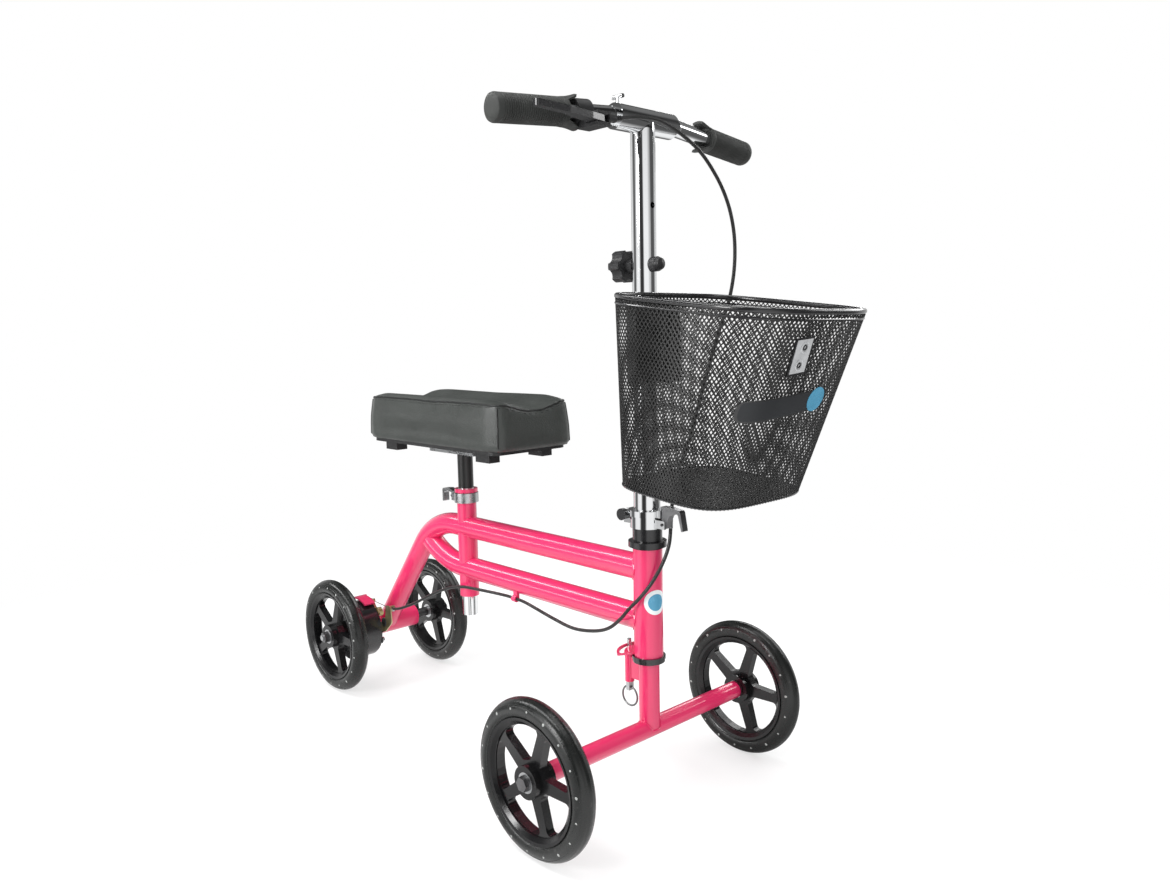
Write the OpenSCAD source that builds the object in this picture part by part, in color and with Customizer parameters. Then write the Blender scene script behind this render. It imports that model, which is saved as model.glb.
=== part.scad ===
// Knee scooter: a steerable four wheeled frame with a knee pad, a folding handlebar column,
// a wire basket and a drum brake on the right rear wheel.
// X points forward, Y to the rider's left, Z up, and the floor is Z = 0.

/* [Wheels] */
// Outer diameter of each tyre
tyre_d = 203; // [190:1:210]
// Width of each tyre
tyre_w = 28; // [24:1:32]
// Distance between the front and rear axles
wheelbase = 685; // [670:5:700]
// Distance between the middle planes of the front tyres
front_track = 413; // [400:1:430]
// Distance between the middle planes of the rear tyres
rear_track = 215; // [210:1:220]
// Number of spokes in each rim
spokes = 5; // [4:1:6]

/* [Frame] */
// Diameter of the two main tubes
main_tube_d = 36; // [32:1:38]
// Height of the upper main tube's centre line
upper_tube_z = 326; // [320:1:330]
// Height of the lower main tube's centre line
lower_tube_z = 256; // [252:1:260]
// Angle of the upper main tube's rear slope, below the horizontal
rear_slope = 51; // [49:1:53]
// Diameter of the head tube
head_tube_d = 40; // [38:1:44]
// Distance of the seat tube behind the steering axis
seat_tube_back = 411; // [400:1:420]

/* [Steering column] */
// Diameter of the steerer tube
steerer_d = 28.6; // [27:0.1:29]
// Diameter of the front crossbar
crossbar_d = 25.4; // [24:0.1:28]
// Height of the fold hinge's parting plane
fold_z = 400; // [398:1:402]
// Diameter of the handlebar column
column_d = 31.8; // [30:0.1:33]
// Height of the star knob
star_knob_z = 729; // [725:1:735]
// Height of the handlebar's centre
handlebar_z = 908; // [900:1:920]
// Overall width of the handlebar
handlebar_w = 462; // [450:2:480]

/* [Basket] */
// Width of the basket's mouth
basket_w = 245; // [230:1:250]
// Depth of the basket's mouth, front to back
basket_deep = 254; // [240:1:260]
// Height of the basket
basket_h = 226; // [210:1:230]
// Lean of the basket that brings its tapered back wall upright
basket_lean = 6.5; // [5:0.5:8]

/* [Knee pad] */
// Length of the knee pad
pad_len = 372; // [350:2:390]
// Width of the knee pad
pad_w = 160; // [145:1:170]
// Height of the pad's raised side lips above the floor
pad_top_z = 548; // [540:1:556]
// Depth of the trough between the lips
pad_trough = 11; // [8:1:16]

/* [Hidden] */
$fn = 64;
fine = 96;              // facets of the large round parts, which become true curves
gap = 0.3;              // space between parts on different bodies
shaft_gap = 0.05;       // radial clearance of a running fit

// Main places
front_x = 253.4;                      // steering axis and front axle
rear_x = front_x - wheelbase;       // rear axle
seat_x = front_x - seat_tube_back;  // seat tube
axle_z = tyre_d / 2;

// Wheels
hub_w = 32;
hub_r = 21;
rim_r = tyre_d / 2 - 22.5;          // seat of the tyre
rim_inner_r = rim_r - 9;
axle_d = 10;
bearing_d = 26;
bearing_w = 8;
washer_t = 1.5;

// Frame
wall = 3;
head_z0 = 206;
head_z1 = 356;
seat_tube_d = 32;
seat_tube_z0 = 209;
post_d = 25.4;
rear_bend_r = 130;
lower_bend_r = 165;
lower_bend_start = seat_x - 9;
lower_bend_angle = 36;
rear_bar_d = 40;
rear_bar_y0 = -38;
rear_bar_y1 = 59;
// Where the upper tube's rear bend starts, so that its slope meets the rear axle
rear_bend_x = rear_x + rear_bend_r * sin(rear_slope)
    + (upper_tube_z - axle_z - rear_bend_r * (1 - cos(rear_slope))) / tan(rear_slope);

// Steering
steerer_top_z = 396;
hinge_z0 = 384;                     // foot of the fold hinge
crossbar_end = front_track / 2 - hub_w / 2 - 2 * washer_t;
lock_pin_x = front_x - 37;
lock_pin_d = 6;
lock_slot_w = 6.6;
steer_limit = 48;
ring_z = 151;                       // cross hole of the lock pin

// Column
fold_pin_dx = -28;
fold_pin_d = 8;
latch_dx = 34;
latch_dz = fold_z - 8;
post_z0 = 412;
socket_top_z = 450;
post_top_z = 845;
column_z0 = 505;
sleeve_d = 32;
sleeve_len = 104;
bar_d = 22.2;
bar_bend_y = 60;                    // where each side of the bar turns
bar_back = 17;                      // sweep of the bar's ends
bar_drop = 12;                      // drop of the bar's ends
grip_len = 102;
grip_d = 34;
star_bolt_d = 8;
slide_up = 100;
slide_down = 40;

// Brake lever, on the right side
lever_y = -106;
lever_pivot_x = front_x + 27;
lever_z = handlebar_z - 16;

// Basket
bracket_x = front_x + column_d / 2;
bracket_z0 = 577;
bracket_z1 = 675;
basket_x = front_x + 26;            // outside of the back wall
basket_top_z = 686;
basket_taper = basket_h * sin(basket_lean);
basket_foot_w = 208;
basket_foot_deep = 168;
basket_wall = 3;

// Knee pad
pad_z0 = 472;
plate_z = 452;
board_t = 6;
collar_z0 = 367;
collar_z1 = 391;
seat_lever_z = 377;
board_z0 = pad_z0 - board_t;
pad_x = seat_x + 3;

// Rear brake
drum_r = 52;
drum_y0 = -84;
drum_y1 = -44;
cam_dx = 24;                        // cam shaft, from the axle
cam_dz = 26;
cam_d = 7;
arm_dx = 9;                         // tip of the brake arm, from the axle
arm_dz = 50;
arm_tip = [rear_x + arm_dx, -33, axle_z + arm_dz];
cable_d = 5;
cable_end = [front_x - 612, -33, 149];

// Route of the brake cable: lever, loop to the left of the column, past the fold hinge,
// round the right of the head tube and under the lower main tube, each as
// [distance ahead of the steering axis, Y, Z]
CABLE_ROUTE = [
    [34, -84, 894], [33, -62, 899], [32, -35, 903], [31, -5, 904], [30, 22, 899],
    [30, 50, 889], [30, 78, 875], [30, 102, 856], [30, 124, 832], [30, 141, 802],
    [30, 150, 766], [30, 149, 725], [29, 139, 684], [28, 120, 645], [26, 103, 604],
    [25, 85, 562], [24, 65, 510], [21, 43, 463], [21, 27, 415], [27, 17, 387],
    [31, 8, 361], [28, -3, 336], [22, -16, 314], [10, -25, 294], [-8, -29, 275],
    [-26, -29, 256], [-50, -28, 238], [-81, -27, 227], [-123, -26, 221], [-166, -25, 225],
    [-240, -18, 233], [-270, -15, 233], [-300, -15, 233], [-370, -21, 231],
    [-400, -24, 229], [-430, -25, 222], [-462, -27, 210], [-496, -29, 194],
    [-530, -31, 177], [-560, -32, 164], [-586, -33, 154.5], [-612, -33, 149]
];
CABLE_SIDES = 10;

pink = [0.93, 0.2, 0.45];
black = [0.07, 0.07, 0.07];
chrome = [0.85, 0.86, 0.88];
steel = [0.62, 0.63, 0.65];
zinc = [0.78, 0.7, 0.42];
foam = [0.22, 0.24, 0.23];
rubber = [0.05, 0.05, 0.05];

// ---------- Helpers ----------

function unit(v) = v / norm(v);

// Arc of points round a centre, from angle a0 to a1
function arc(c, r, a0, a1, n) = [for (i = [0 : n]) let (a = a0 + (a1 - a0) * i / n)
    c + r * [cos(a), sin(a)]];

// Closed outline p with corner i replaced by an arc of radius r[i]
function rounded(p, r, n = 6) = [for (i = [0 : len(p) - 1])
    let (u = unit(p[(i + len(p) - 1) % len(p)] - p[i]),
         v = unit(p[(i + 1) % len(p)] - p[i]),
         half = acos(u * v) / 2,
         c = p[i] + unit(u + v) * r[i] / sin(half),
         s = p[i] + u * r[i] / tan(half) - c,
         e = p[i] + v * r[i] / tan(half) - c,
         a0 = atan2(s.y, s.x),
         turn = sign(s.x * e.y - s.y * e.x) * (180 - 2 * half))
    for (q = arc(c, r[i], a0, a0 + turn, n)) q];

// Smooth curve through the points p, with n steps a span (Catmull-Rom)
function smooth(p, n) = concat([for (i = [0 : len(p) - 2]) for (k = [0 : n - 1])
    let (t = k / n, a = p[max(i - 1, 0)], b = p[i], c = p[i + 1],
         d = p[min(i + 2, len(p) - 1)])
    (2 * b + (c - a) * t + (2 * a - 5 * b + 4 * c - d) * t * t
        + (3 * b - a - 3 * c + d) * t * t * t) / 2], [p[len(p) - 1]]);

// One direction square to each tangent, turned as little as possible along the curve
function normals(t, n, i = 0) = i == len(t) ? []
    : let (m = unit(n - (n * t[i]) * t[i])) concat([m], normals(t, m, i + 1));

// Round tube of radius r swept along the points p
module sweep(p, r, sides) {
    last = len(p) - 1;
    t = [for (i = [0 : last]) unit(p[min(i + 1, last)] - p[max(i - 1, 0)])];
    n = normals(t, abs(t[0].z) < 0.9 ? [0, 0, 1] : [1, 0, 0]);
    rings = [for (i = [0 : last]) for (k = [0 : sides - 1]) let (a = 360 * k / sides)
        p[i] + r * (cos(a) * n[i] + sin(a) * cross(t[i], n[i]))];
    walls = [for (i = [0 : last - 1]) for (k = [0 : sides - 1]) let (m = (k + 1) % sides)
        [i * sides + k, (i + 1) * sides + k, (i + 1) * sides + m, i * sides + m]];
    caps = [[for (k = [0 : sides - 1]) k],
            [for (k = [sides - 1 : -1 : 0]) last * sides + k]];
    polyhedron(rings, concat(walls, caps));
}

module bar_x(d, l) { rotate([0, 90, 0]) cylinder(d = d, h = l, center = true, $fn = fine); }

module bar_y(d, l) { rotate([90, 0, 0]) cylinder(d = d, h = l, center = true, $fn = fine); }

// Ring along Z from z0 to z1
module ring(d_out, d_in, z0, z1) {
    translate([0, 0, z0]) difference() {
        cylinder(d = d_out, h = z1 - z0, $fn = fine);
        translate([0, 0, -1]) cylinder(d = d_in, h = z1 - z0 + 2, $fn = fine);
    }
}

// Plate in the XZ plane from y0 to y1, from an outline of [x, z] points
module upright(outline, y0, y1) {
    translate([0, y1, 0]) rotate([90, 0, 0]) linear_extrude(y1 - y0) polygon(outline);
}

module at_steering() { translate([front_x, 0, 0]) children(); }

module at_seat() { translate([seat_x, 0, 0]) children(); }

module at_rear() { translate([rear_x, 0, axle_z]) children(); }

// ---------- Wheels ----------

// Window between two spokes, as an outline about the hub
function window() =
    let (step = 360 / spokes, r0 = hub_r + 5, r1 = rim_inner_r - 1, w0 = 8.5, w1 = 6.5,
         in = asin(w0 / r0), out = asin(w1 / r1))
    rounded(concat([r0 * [cos(in), sin(in)]], arc([0, 0], r1, out, step - out, 8),
        [r0 * [cos(step - in), sin(step - in)]]),
        concat([5, 6], [for (i = [0 : 6]) 1], [6, 5]), 4);

module rim() {
    rotate([90, 0, 0]) difference() {
        union() {
            rotate_extrude($fn = fine) polygon([[rim_inner_r, -8], [rim_r - 4, -12],
                [rim_r, -13], [rim_r, 13], [rim_r - 4, 12], [rim_inner_r, 8]]);
            cylinder(r = hub_r, h = hub_w, center = true, $fn = fine);
            linear_extrude(12, center = true) difference() {
                circle(r = rim_inner_r + 1, $fn = fine);
                for (i = [0 : spokes - 1]) rotate(360 / spokes * i) polygon(window());
            }
        }
        cylinder(d = axle_d + 6, h = hub_w + 2, center = true, $fn = fine);
        for (side = [-1, 1]) translate([0, 0, side * (hub_w - bearing_w + 2) / 2])
            cylinder(d = bearing_d, h = bearing_w + 2, center = true, $fn = fine);
    }
}

module tyre() {
    rotate([90, 0, 0]) rotate_extrude($fn = fine) {
        translate([tyre_d / 2 - tyre_w / 2, 0]) circle(d = tyre_w, $fn = fine);
        translate([rim_r, -12]) square([tyre_w / 2, 24]);
    }
}

module bearings() {
    for (side = [-1, 1]) translate([0, side * (hub_w - bearing_w) / 2, 0]) difference() {
        bar_y(bearing_d, bearing_w);
        bar_y(axle_d + 2 * shaft_gap, bearing_w + 2);
    }
}

module at_wheel(front, left) {
    translate([front ? front_x : rear_x, (left ? 1 : -1) * (front ? front_track : rear_track) / 2,
        axle_z]) children();
}

module rim_front_left() { color(black) at_wheel(true, true) rim(); }
module rim_front_right() { color(black) at_wheel(true, false) rim(); }
module rim_rear_left() { color(black) at_wheel(false, true) rim(); }
module rim_rear_right() { color(black) at_wheel(false, false) rim(); }
module tyre_front_left() { color(rubber) at_wheel(true, true) tyre(); }
module tyre_front_right() { color(rubber) at_wheel(true, false) tyre(); }
module tyre_rear_left() { color(rubber) at_wheel(false, true) tyre(); }
module tyre_rear_right() { color(rubber) at_wheel(false, false) tyre(); }
module bearings_front_left() { color(steel) at_wheel(true, true) bearings(); }
module bearings_front_right() { color(steel) at_wheel(true, false) bearings(); }
module bearings_rear_left() { color(steel) at_wheel(false, true) bearings(); }
module bearings_rear_right() { color(steel) at_wheel(false, false) bearings(); }

// ---------- Frame ----------

module head_tube() { color(pink) at_steering() ring(head_tube_d, 34, head_z0, head_z1); }

// Cross-section of a tube
module section(d, hole) {
    difference() {
        circle(d = d, $fn = fine);
        if (hole > 0) circle(d = hole, $fn = fine);
    }
}

// The upper main tube along its centre line, hollow where hole is not zero
module upper_path(d, hole = 0) {
    translate([rear_bend_x, 0, upper_tube_z]) rotate([0, 90, 0])
        linear_extrude(front_x - rear_bend_x) section(d, hole);
    translate([rear_bend_x, 0, upper_tube_z - rear_bend_r]) rotate([90, 0, 0])
        rotate_extrude(start = 90, angle = rear_slope, $fn = fine)
        translate([rear_bend_r, 0]) section(d, hole);
}

// The straight tube that carries on from the bend down to the rear axle
module slope_path(d, hole = 0) {
    end_x = rear_bend_x - rear_bend_r * sin(rear_slope);
    end_z = upper_tube_z - rear_bend_r * (1 - cos(rear_slope));
    translate([end_x, 0, end_z]) rotate([0, -90 - rear_slope, 0])
        linear_extrude(norm([end_x - rear_x, end_z - axle_z])) section(d, hole);
}

module lower_path(d, hole = 0) {
    translate([lower_bend_start, 0, lower_tube_z]) rotate([0, 90, 0])
        linear_extrude(front_x - lower_bend_start) section(d, hole);
    translate([lower_bend_start, 0, lower_tube_z + lower_bend_r]) rotate([90, 0, 0])
        rotate_extrude(start = 270 - lower_bend_angle, angle = lower_bend_angle, $fn = fine)
        translate([lower_bend_r, 0]) section(d, hole);
}

module head_and_seat_cut() {
    at_steering() cylinder(d = head_tube_d, h = 500, $fn = fine);
    at_seat() cylinder(d = seat_tube_d, h = 500, $fn = fine);
}

module upper_main_tube() {
    color(pink) difference() {
        upper_path(main_tube_d, main_tube_d - 2 * wall);
        head_and_seat_cut();
    }
}

module rear_slope_tube() {
    color(pink) difference() {
        slope_path(main_tube_d, main_tube_d - 2 * wall);
        at_rear() bar_y(rear_bar_d, 200);
    }
}

module lower_main_tube() {
    color(pink) difference() {
        lower_path(main_tube_d, main_tube_d - 2 * wall);
        head_and_seat_cut();
        upper_path(main_tube_d);
        slope_path(main_tube_d);
    }
}

// The seat tube has a flared lip above the clamp collar
module seat_tube() {
    color(pink) at_seat() difference() {
        union() {
            translate([0, 0, seat_tube_z0])
                cylinder(d = seat_tube_d, h = collar_z1 - seat_tube_z0, $fn = fine);
            translate([0, 0, collar_z1 - 6]) cylinder(d = seat_tube_d + 6, h = 6, $fn = fine);
        }
        cylinder(d = post_d + 2 * shaft_gap, h = 500, $fn = fine);
    }
}

module rear_crossbar() {
    cap_t = 6;
    mid = (rear_bar_y0 + rear_bar_y1) / 2;
    len = rear_bar_y1 - rear_bar_y0;
    color(pink) at_rear() translate([0, mid, 0]) difference() {
        bar_y(rear_bar_d, len);
        bar_y(rear_bar_d - 2 * wall, len - 2 * cap_t);
        bar_y(axle_d, len + 2);
    }
}

// Plate behind the head tube with a curved slot that the lock pin runs in
module steering_lock_plate() {
    slot_r = front_x - lock_pin_x;
    w = lock_slot_w / 2;
    a0 = 180 - steer_limit - 4;
    a1 = 180 + steer_limit + 4;
    slot = concat(arc([0, 0], slot_r + w, a0, a1, 24),
        arc(slot_r * [cos(a1), sin(a1)], w, a1 + 20, a1 + 160, 6),
        arc([0, 0], slot_r - w, a1, a0, 24),
        arc(slot_r * [cos(a0), sin(a0)], w, a0 + 200, a0 + 340, 6));
    color(pink) translate([front_x, 0, head_z0 + 2]) linear_extrude(3) difference() {
        polygon(concat([[0, 0]], arc([0, 0], slot_r + 7, a0 - 7, a1 + 7, 24)));
        circle(d = head_tube_d, $fn = fine);
        polygon(slot);
    }
}

// Cover strip over the brake drum and the clip that holds the brake cable
module frame_brackets() {
    strip_r = drum_r + 5;
    clip_x = front_x - 270;
    color(pink) {
        at_rear() difference() {
            union() {
                rotate([90, 0, 0]) translate([0, 0, 3 - rear_bar_y0])
                    linear_extrude(21) polygon(concat(arc([0, 0], strip_r, 60, 120, 12),
                        arc([0, 0], strip_r + 3, 120, 60, 12)));
                rotate([90, 0, 0]) translate([0, 0, -rear_bar_y0 - 2])
                    linear_extrude(7) polygon(concat(arc([0, 0], strip_r, 98, 120, 5),
                        arc([0, 0], strip_r + 3, 120, 98, 5)));
                upright([[-26, 0], [-6, 0], [-8, strip_r + 1], [-26, strip_r - 5]],
                    rear_bar_y0 - 1, rear_bar_y0 + 2);
            }
            bar_y(rear_bar_d, 200);
        }
        difference() {
            translate([clip_x, -15, 233]) union() {
                bar_x(10, 9);
                translate([-4.5, 0, 0]) cube([9, 5, 12]);
            }
            lower_path(main_tube_d);
            translate([clip_x, -15, 233]) bar_x(cable_d + 0.6, 20);
        }
    }
}

// Upper and lower cups, and the two bearings in the head tube
module headset_cups() {
    color(black) at_steering() {
        ring(46, steerer_d + 0.8, head_z0 - 4, head_z0);
        ring(44, steerer_d + 0.8, head_z1, head_z1 + 9.7);
        ring(52, 44, head_z1 + 2, head_z1 + 9.7);
    }
    color(steel) at_steering() {
        ring(34, steerer_d + 2 * shaft_gap, head_z0 + 2, head_z0 + 12);
        ring(34, steerer_d + 2 * shaft_gap, head_z1 - 12, head_z1 - 2);
    }
}

module rear_axle() {
    color(steel) at_rear() bar_y(axle_d, rear_track + hub_w + 2 * washer_t + 22);
}

// Washers and nuts outside the wheels, and the spacer beside the left wheel
module rear_axle_hardware() {
    hub_out = (rear_track + hub_w) / 2;
    hub_in = (rear_track - hub_w) / 2;
    color(steel) at_rear() difference() {
        union() {
            for (side = [-1, 1]) {
                translate([0, side * (hub_out + washer_t / 2), 0]) bar_y(20, washer_t);
                translate([0, side * (hub_out + washer_t + 4), 0]) rotate([90, 0, 0])
                    cylinder(d = 19, h = 8, center = true, $fn = 6);
            }
            translate([0, (rear_bar_y1 + hub_in) / 2, 0]) bar_y(17, hub_in - rear_bar_y1);
        }
        bar_y(axle_d, 400);
    }
}

// Clamp band round the seat tube, with two cheeks and the lever's pin
module seat_collar() {
    z1 = collar_z1 - 7;
    color(chrome) at_seat() {
        ring(seat_tube_d + 8, seat_tube_d, collar_z0 + 1, z1);
        for (side = [-1, 1]) translate([-31, side * 7 - 1.5, collar_z0 + 1])
            cube([14, 3, z1 - collar_z0 - 1]);
        translate([-26, 0, seat_lever_z]) bar_y(5, 24);
    }
}

// ---------- Rear brake, parts held by the frame ----------

module brake_back_plate() {
    color(black) at_rear() difference() {
        union() {
            translate([0, -41.5, 0]) bar_y(2 * drum_r - 4, 3);
            translate([-cam_dx, -58, -cam_dz]) bar_y(12, 33);
        }
        bar_y(axle_d, 200);
        translate([cam_dx, -41.5, cam_dz]) bar_y(cam_d + 2 * shaft_gap, 20);
    }
}

module brake_shoes() {
    color(steel) at_rear() difference() {
        translate([0, -62, 0]) bar_y(2 * drum_r - 9.2, 24);
        translate([0, -62, 0]) bar_y(2 * drum_r - 44, 26);
        translate([0, -62, 0]) rotate([0, -atan(cam_dz / cam_dx), 0]) cube([120, 30, 8],
            center = true);
        translate([-cam_dx, -58, -cam_dz]) bar_y(12, 60);
    }
}

// Strap between the back plate and the crossbar, and the stop that ends the cable's housing
module brake_cable_anchor() {
    color(zinc) {
        difference() {
            at_rear() upright(rounded([[-12, -14], [24, -12], [62, 4], [84, 24], [82, 54],
                [66, 54], [62, 30], [48, 18], [10, 14], [-12, 14]],
                [6, 8, 10, 8, 4, 4, 8, 6, 6, 6]), -40, rear_bar_y0);
            at_rear() bar_y(axle_d, 200);
        }
        difference() {
            translate(cable_end) rotate([0, -12, 0]) translate([-4, -6, -5])
                cube([9, 11, 10]);
            translate(cable_end) rotate([0, -12, 0]) bar_x(cable_d + 1, 40);
            slope_path(main_tube_d);
        }
    }
}

// The cable in its housing, and the bare end that runs on to the brake arm
module brake_cable() {
    color(black) at_steering() sweep(smooth(CABLE_ROUTE, 2), cable_d / 2, CABLE_SIDES);
    color(steel) span(cable_end, arm_tip, 1.6, 4.4);
}

// ---------- Steering ----------

module front_steerer() {
    color(pink) difference() {
        at_steering() ring(steerer_d, steerer_d - 2 * wall, axle_z, steerer_top_z);
        translate([front_x, 0, axle_z]) bar_y(crossbar_d, 100);
    }
}

module front_crossbar() {
    color(pink) translate([front_x, 0, axle_z]) difference() {
        bar_y(crossbar_d, 2 * crossbar_end);
        bar_y(crossbar_d - 2 * wall, 2 * crossbar_end - 50);
        bar_y(axle_d, 2 * crossbar_end + 2);
    }
}

// Crown race under the lower cup and the lock nut over the upper cup
module headset_races() {
    color(black) at_steering() {
        ring(44, steerer_d, head_z0 - 8.3, head_z0 - 4 - gap);
        ring(40, steerer_d, head_z1 + 10, hinge_z0);
    }
}

// Lower half of the fold hinge, with the outer knuckles and the ears of the latch
module fold_hinge_base() {
    color(chrome) at_steering() difference() {
        union() {
            translate([0, 0, hinge_z0]) cylinder(d = 46, h = fold_z - gap - hinge_z0, $fn = fine);
            for (side = [-1, 1]) {
                translate([fold_pin_dx, side * 12.2, fold_z]) bar_y(14, 7.8);
                translate([fold_pin_dx, side * 12.2 - 3.9, fold_z - 11]) cube([14, 7.8, 10]);
                translate([14, side * 6.9 - 1.5, latch_dz - 6]) cube([24, 3, 11]);
            }
        }
        translate([0, 0, hinge_z0 - 1]) cylinder(d = steerer_d, h = steerer_top_z - hinge_z0 + 1,
            $fn = fine);
        translate([fold_pin_dx, 0, fold_z]) bar_y(14.6, 16.6);
        translate([fold_pin_dx, 0, fold_z]) bar_y(fold_pin_d, 60);
        translate([latch_dx, 0, latch_dz]) bar_y(4, 60);
        translate([22, -5.4, latch_dz - 8]) cube([30, 10.8, 16]);
    }
}

// Hinge pin with its cap nuts, and the latch's pin
module fold_hinge_pin() {
    color(steel) at_steering() {
        translate([fold_pin_dx, 0, fold_z]) bar_y(fold_pin_d, 44);
        for (side = [-1, 1]) translate([fold_pin_dx, side * 19.1, fold_z]) bar_y(16, 6);
        translate([latch_dx, 0, latch_dz]) bar_y(4, 19);
    }
}

// Housing of the lock pin, on a web behind the steerer
module lock_pin_housing() {
    color(pink) difference() {
        union() {
            translate([lock_pin_x, 0, 159]) cylinder(d = 13, h = 44);
            translate([lock_pin_x, -3, 165]) cube([front_x - lock_pin_x, 6, 30]);
        }
        at_steering() cylinder(d = steerer_d, h = 300, $fn = fine);
        translate([lock_pin_x, 0, 100]) cylinder(d = lock_pin_d + 2 * shaft_gap, h = 200);
        translate([lock_pin_x, 0, 165]) cylinder(d = 10.2, h = 32);
    }
}

// Two axle bolts, each with a washer inside and outside its wheel
module front_axle_hardware() {
    hub_in = (front_track - hub_w) / 2 - gap;
    hub_out = (front_track + hub_w) / 2 + gap;
    color(steel) for (side = [-1, 1]) translate([front_x, 0, axle_z]) {
        translate([0, side * (hub_out + 1.5 + crossbar_end - 25) / 2, 0])
            bar_y(axle_d, hub_out + 1.5 - crossbar_end + 25);
        translate([0, side * (crossbar_end + hub_in) / 2, 0]) bar_y(18, hub_in - crossbar_end);
        translate([0, side * (hub_out + 0.75), 0]) bar_y(20, 1.5);
        translate([0, side * (hub_out + 4), 0]) rotate([90, 0, 0])
            cylinder(d = 19, h = 5, center = true, $fn = 6);
    }
}

// ---------- Steering lock and fold latch ----------

// The head below the housing carries the ring, and the collar takes the spring
module lock_pin() {
    color(steel) translate([lock_pin_x, 0, 0]) difference() {
        union() {
            translate([0, 0, 150]) cylinder(d = lock_pin_d, h = 70);
            translate([0, 0, 187]) cylinder(d = 9.4, h = 3);
            translate([-3, -4.5, 146]) cube([6, 9, 12]);
        }
        translate([0, 0, ring_z]) bar_x(4.8, 20);
    }
}

module lock_pin_spring() {
    color(steel) translate([lock_pin_x, 0, 0]) sweep([for (i = [0 : 60]) let (a = i * 30)
        [4.1 * cos(a), 4.1 * sin(a), 165.8 + 20.4 * i / 60]], 0.6, 6);
}

module lock_pull_ring() {
    color(steel) translate([lock_pin_x, 0, ring_z - 14]) rotate([90, 0, 0])
        rotate_extrude($fn = fine) translate([14, 0]) circle(d = 2.6, $fn = 24);
}

// Lever that hooks over the lug of the upper half
module fold_latch_lever() {
    color(chrome) difference() {
        at_steering() upright(rounded([[30.6, 386], [37.4, 386], [40, 396], [44, 405],
            [58, 409], [64, 386], [67, 387], [62, 413], [46, 415.5], [29, 415.5], [29, 411.2],
            [30.6, 411.2]], [3, 3, 1, 6, 3, 1, 1, 4, 3, 1, 0.6, 0.4]), -5, 5);
        translate([front_x + latch_dx, 0, latch_dz]) bar_y(4 + 2 * shaft_gap, 40);
    }
}

// ---------- Column ----------

// Upper half of the fold hinge, with the socket of the inner post
module fold_hinge_top() {
    color(chrome) at_steering() difference() {
        union() {
            translate([0, 0, fold_z]) cylinder(d = 49, h = 8, $fn = fine);
            translate([0, 0, fold_z + 8]) cylinder(d = 36, h = socket_top_z - fold_z - 8,
                $fn = fine);
            translate([fold_pin_dx, 0, fold_z]) bar_y(14, 16);
            translate([fold_pin_dx, -8, fold_z]) cube([14, 16, 7]);
            translate([16, -8, fold_z]) cube([14, 16, 10]);
        }
        for (side = [-1, 1]) translate([fold_pin_dx, side * 28, fold_z]) bar_y(14.6, 40);
        translate([fold_pin_dx, 0, fold_z]) bar_y(fold_pin_d + 2 * shaft_gap, 60);
        translate([0, 0, post_z0]) cylinder(d = post_d, h = 100, $fn = fine);
    }
}

// Inner post, slotted front and back for the star knob's bolt
module column_inner_post() {
    slot_z0 = star_knob_z - slide_down - 5;
    slot_z1 = star_knob_z + slide_up + 5;
    color(chrome) at_steering() difference() {
        ring(post_d, post_d - 2 * wall, post_z0, post_top_z);
        translate([-20, -4.4, slot_z0]) cube([40, 8.8, slot_z1 - slot_z0]);
    }
}

// ---------- Handlebar ----------

module handlebar_column() {
    color(chrome) at_steering() difference() {
        ring(column_d, post_d + 2 * shaft_gap, column_z0, handlebar_z);
        translate([0, 0, star_knob_z]) bar_x(star_bolt_d + 2 * shaft_gap, 60);
        translate([15, 0, 803]) bar_x(8, 12);
        translate([0, 0, handlebar_z]) bar_y(sleeve_d, 100);
    }
}

// Sleeve on top of the column, with the wing screw that holds the bar
module handlebar_sleeve() {
    color(chrome) translate([front_x, 0, handlebar_z]) {
        difference() {
            bar_y(sleeve_d, sleeve_len);
            bar_y(bar_d, sleeve_len + 2);
        }
        translate([0, -44, 14]) cylinder(d = 6, h = 10);
        translate([0, -44, 24]) bar_x(5, 18);
    }
}

// Cylinder from a towards b, starting s0 and ending s1 along the way
module stretch(a, b, d, s0, s1) {
    v = b - a;
    translate(a) rotate([0, acos(v.z / norm(v)), atan2(v.y, v.x)]) translate([0, 0, s0])
        cylinder(d = d, h = s1 - s0, $fn = fine);
}

module span(a, b, d, shy) { stretch(a, b, d, 0, norm(b - a) - shy); }

// One half of the bar, side 1 on the left and -1 on the right
function bar_bend(side) = [front_x, side * bar_bend_y, handlebar_z];
function bar_end(side) = [front_x - bar_back, side * handlebar_w / 2, handlebar_z - bar_drop];
bar_run = norm(bar_end(1) - bar_bend(1));

module handlebar_tube() {
    color(chrome) {
        translate([front_x, 0, handlebar_z]) bar_y(bar_d, 2 * bar_bend_y);
        for (side = [-1, 1]) {
            translate(bar_bend(side)) sphere(d = bar_d + 0.3, $fn = fine);
            stretch(bar_bend(side), bar_end(side), bar_d, 0, bar_run - 4);
        }
    }
}

module handlebar_grips() {
    color(foam) for (side = [-1, 1]) difference() {
        union() {
            stretch(bar_bend(side), bar_end(side), grip_d, bar_run - grip_len, bar_run);
            stretch(bar_bend(side), bar_end(side), grip_d + 7, bar_run - grip_len,
                bar_run - grip_len + 7);
        }
        stretch(bar_bend(side), bar_end(side), bar_d, 0, bar_run - 4);
    }
}

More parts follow.
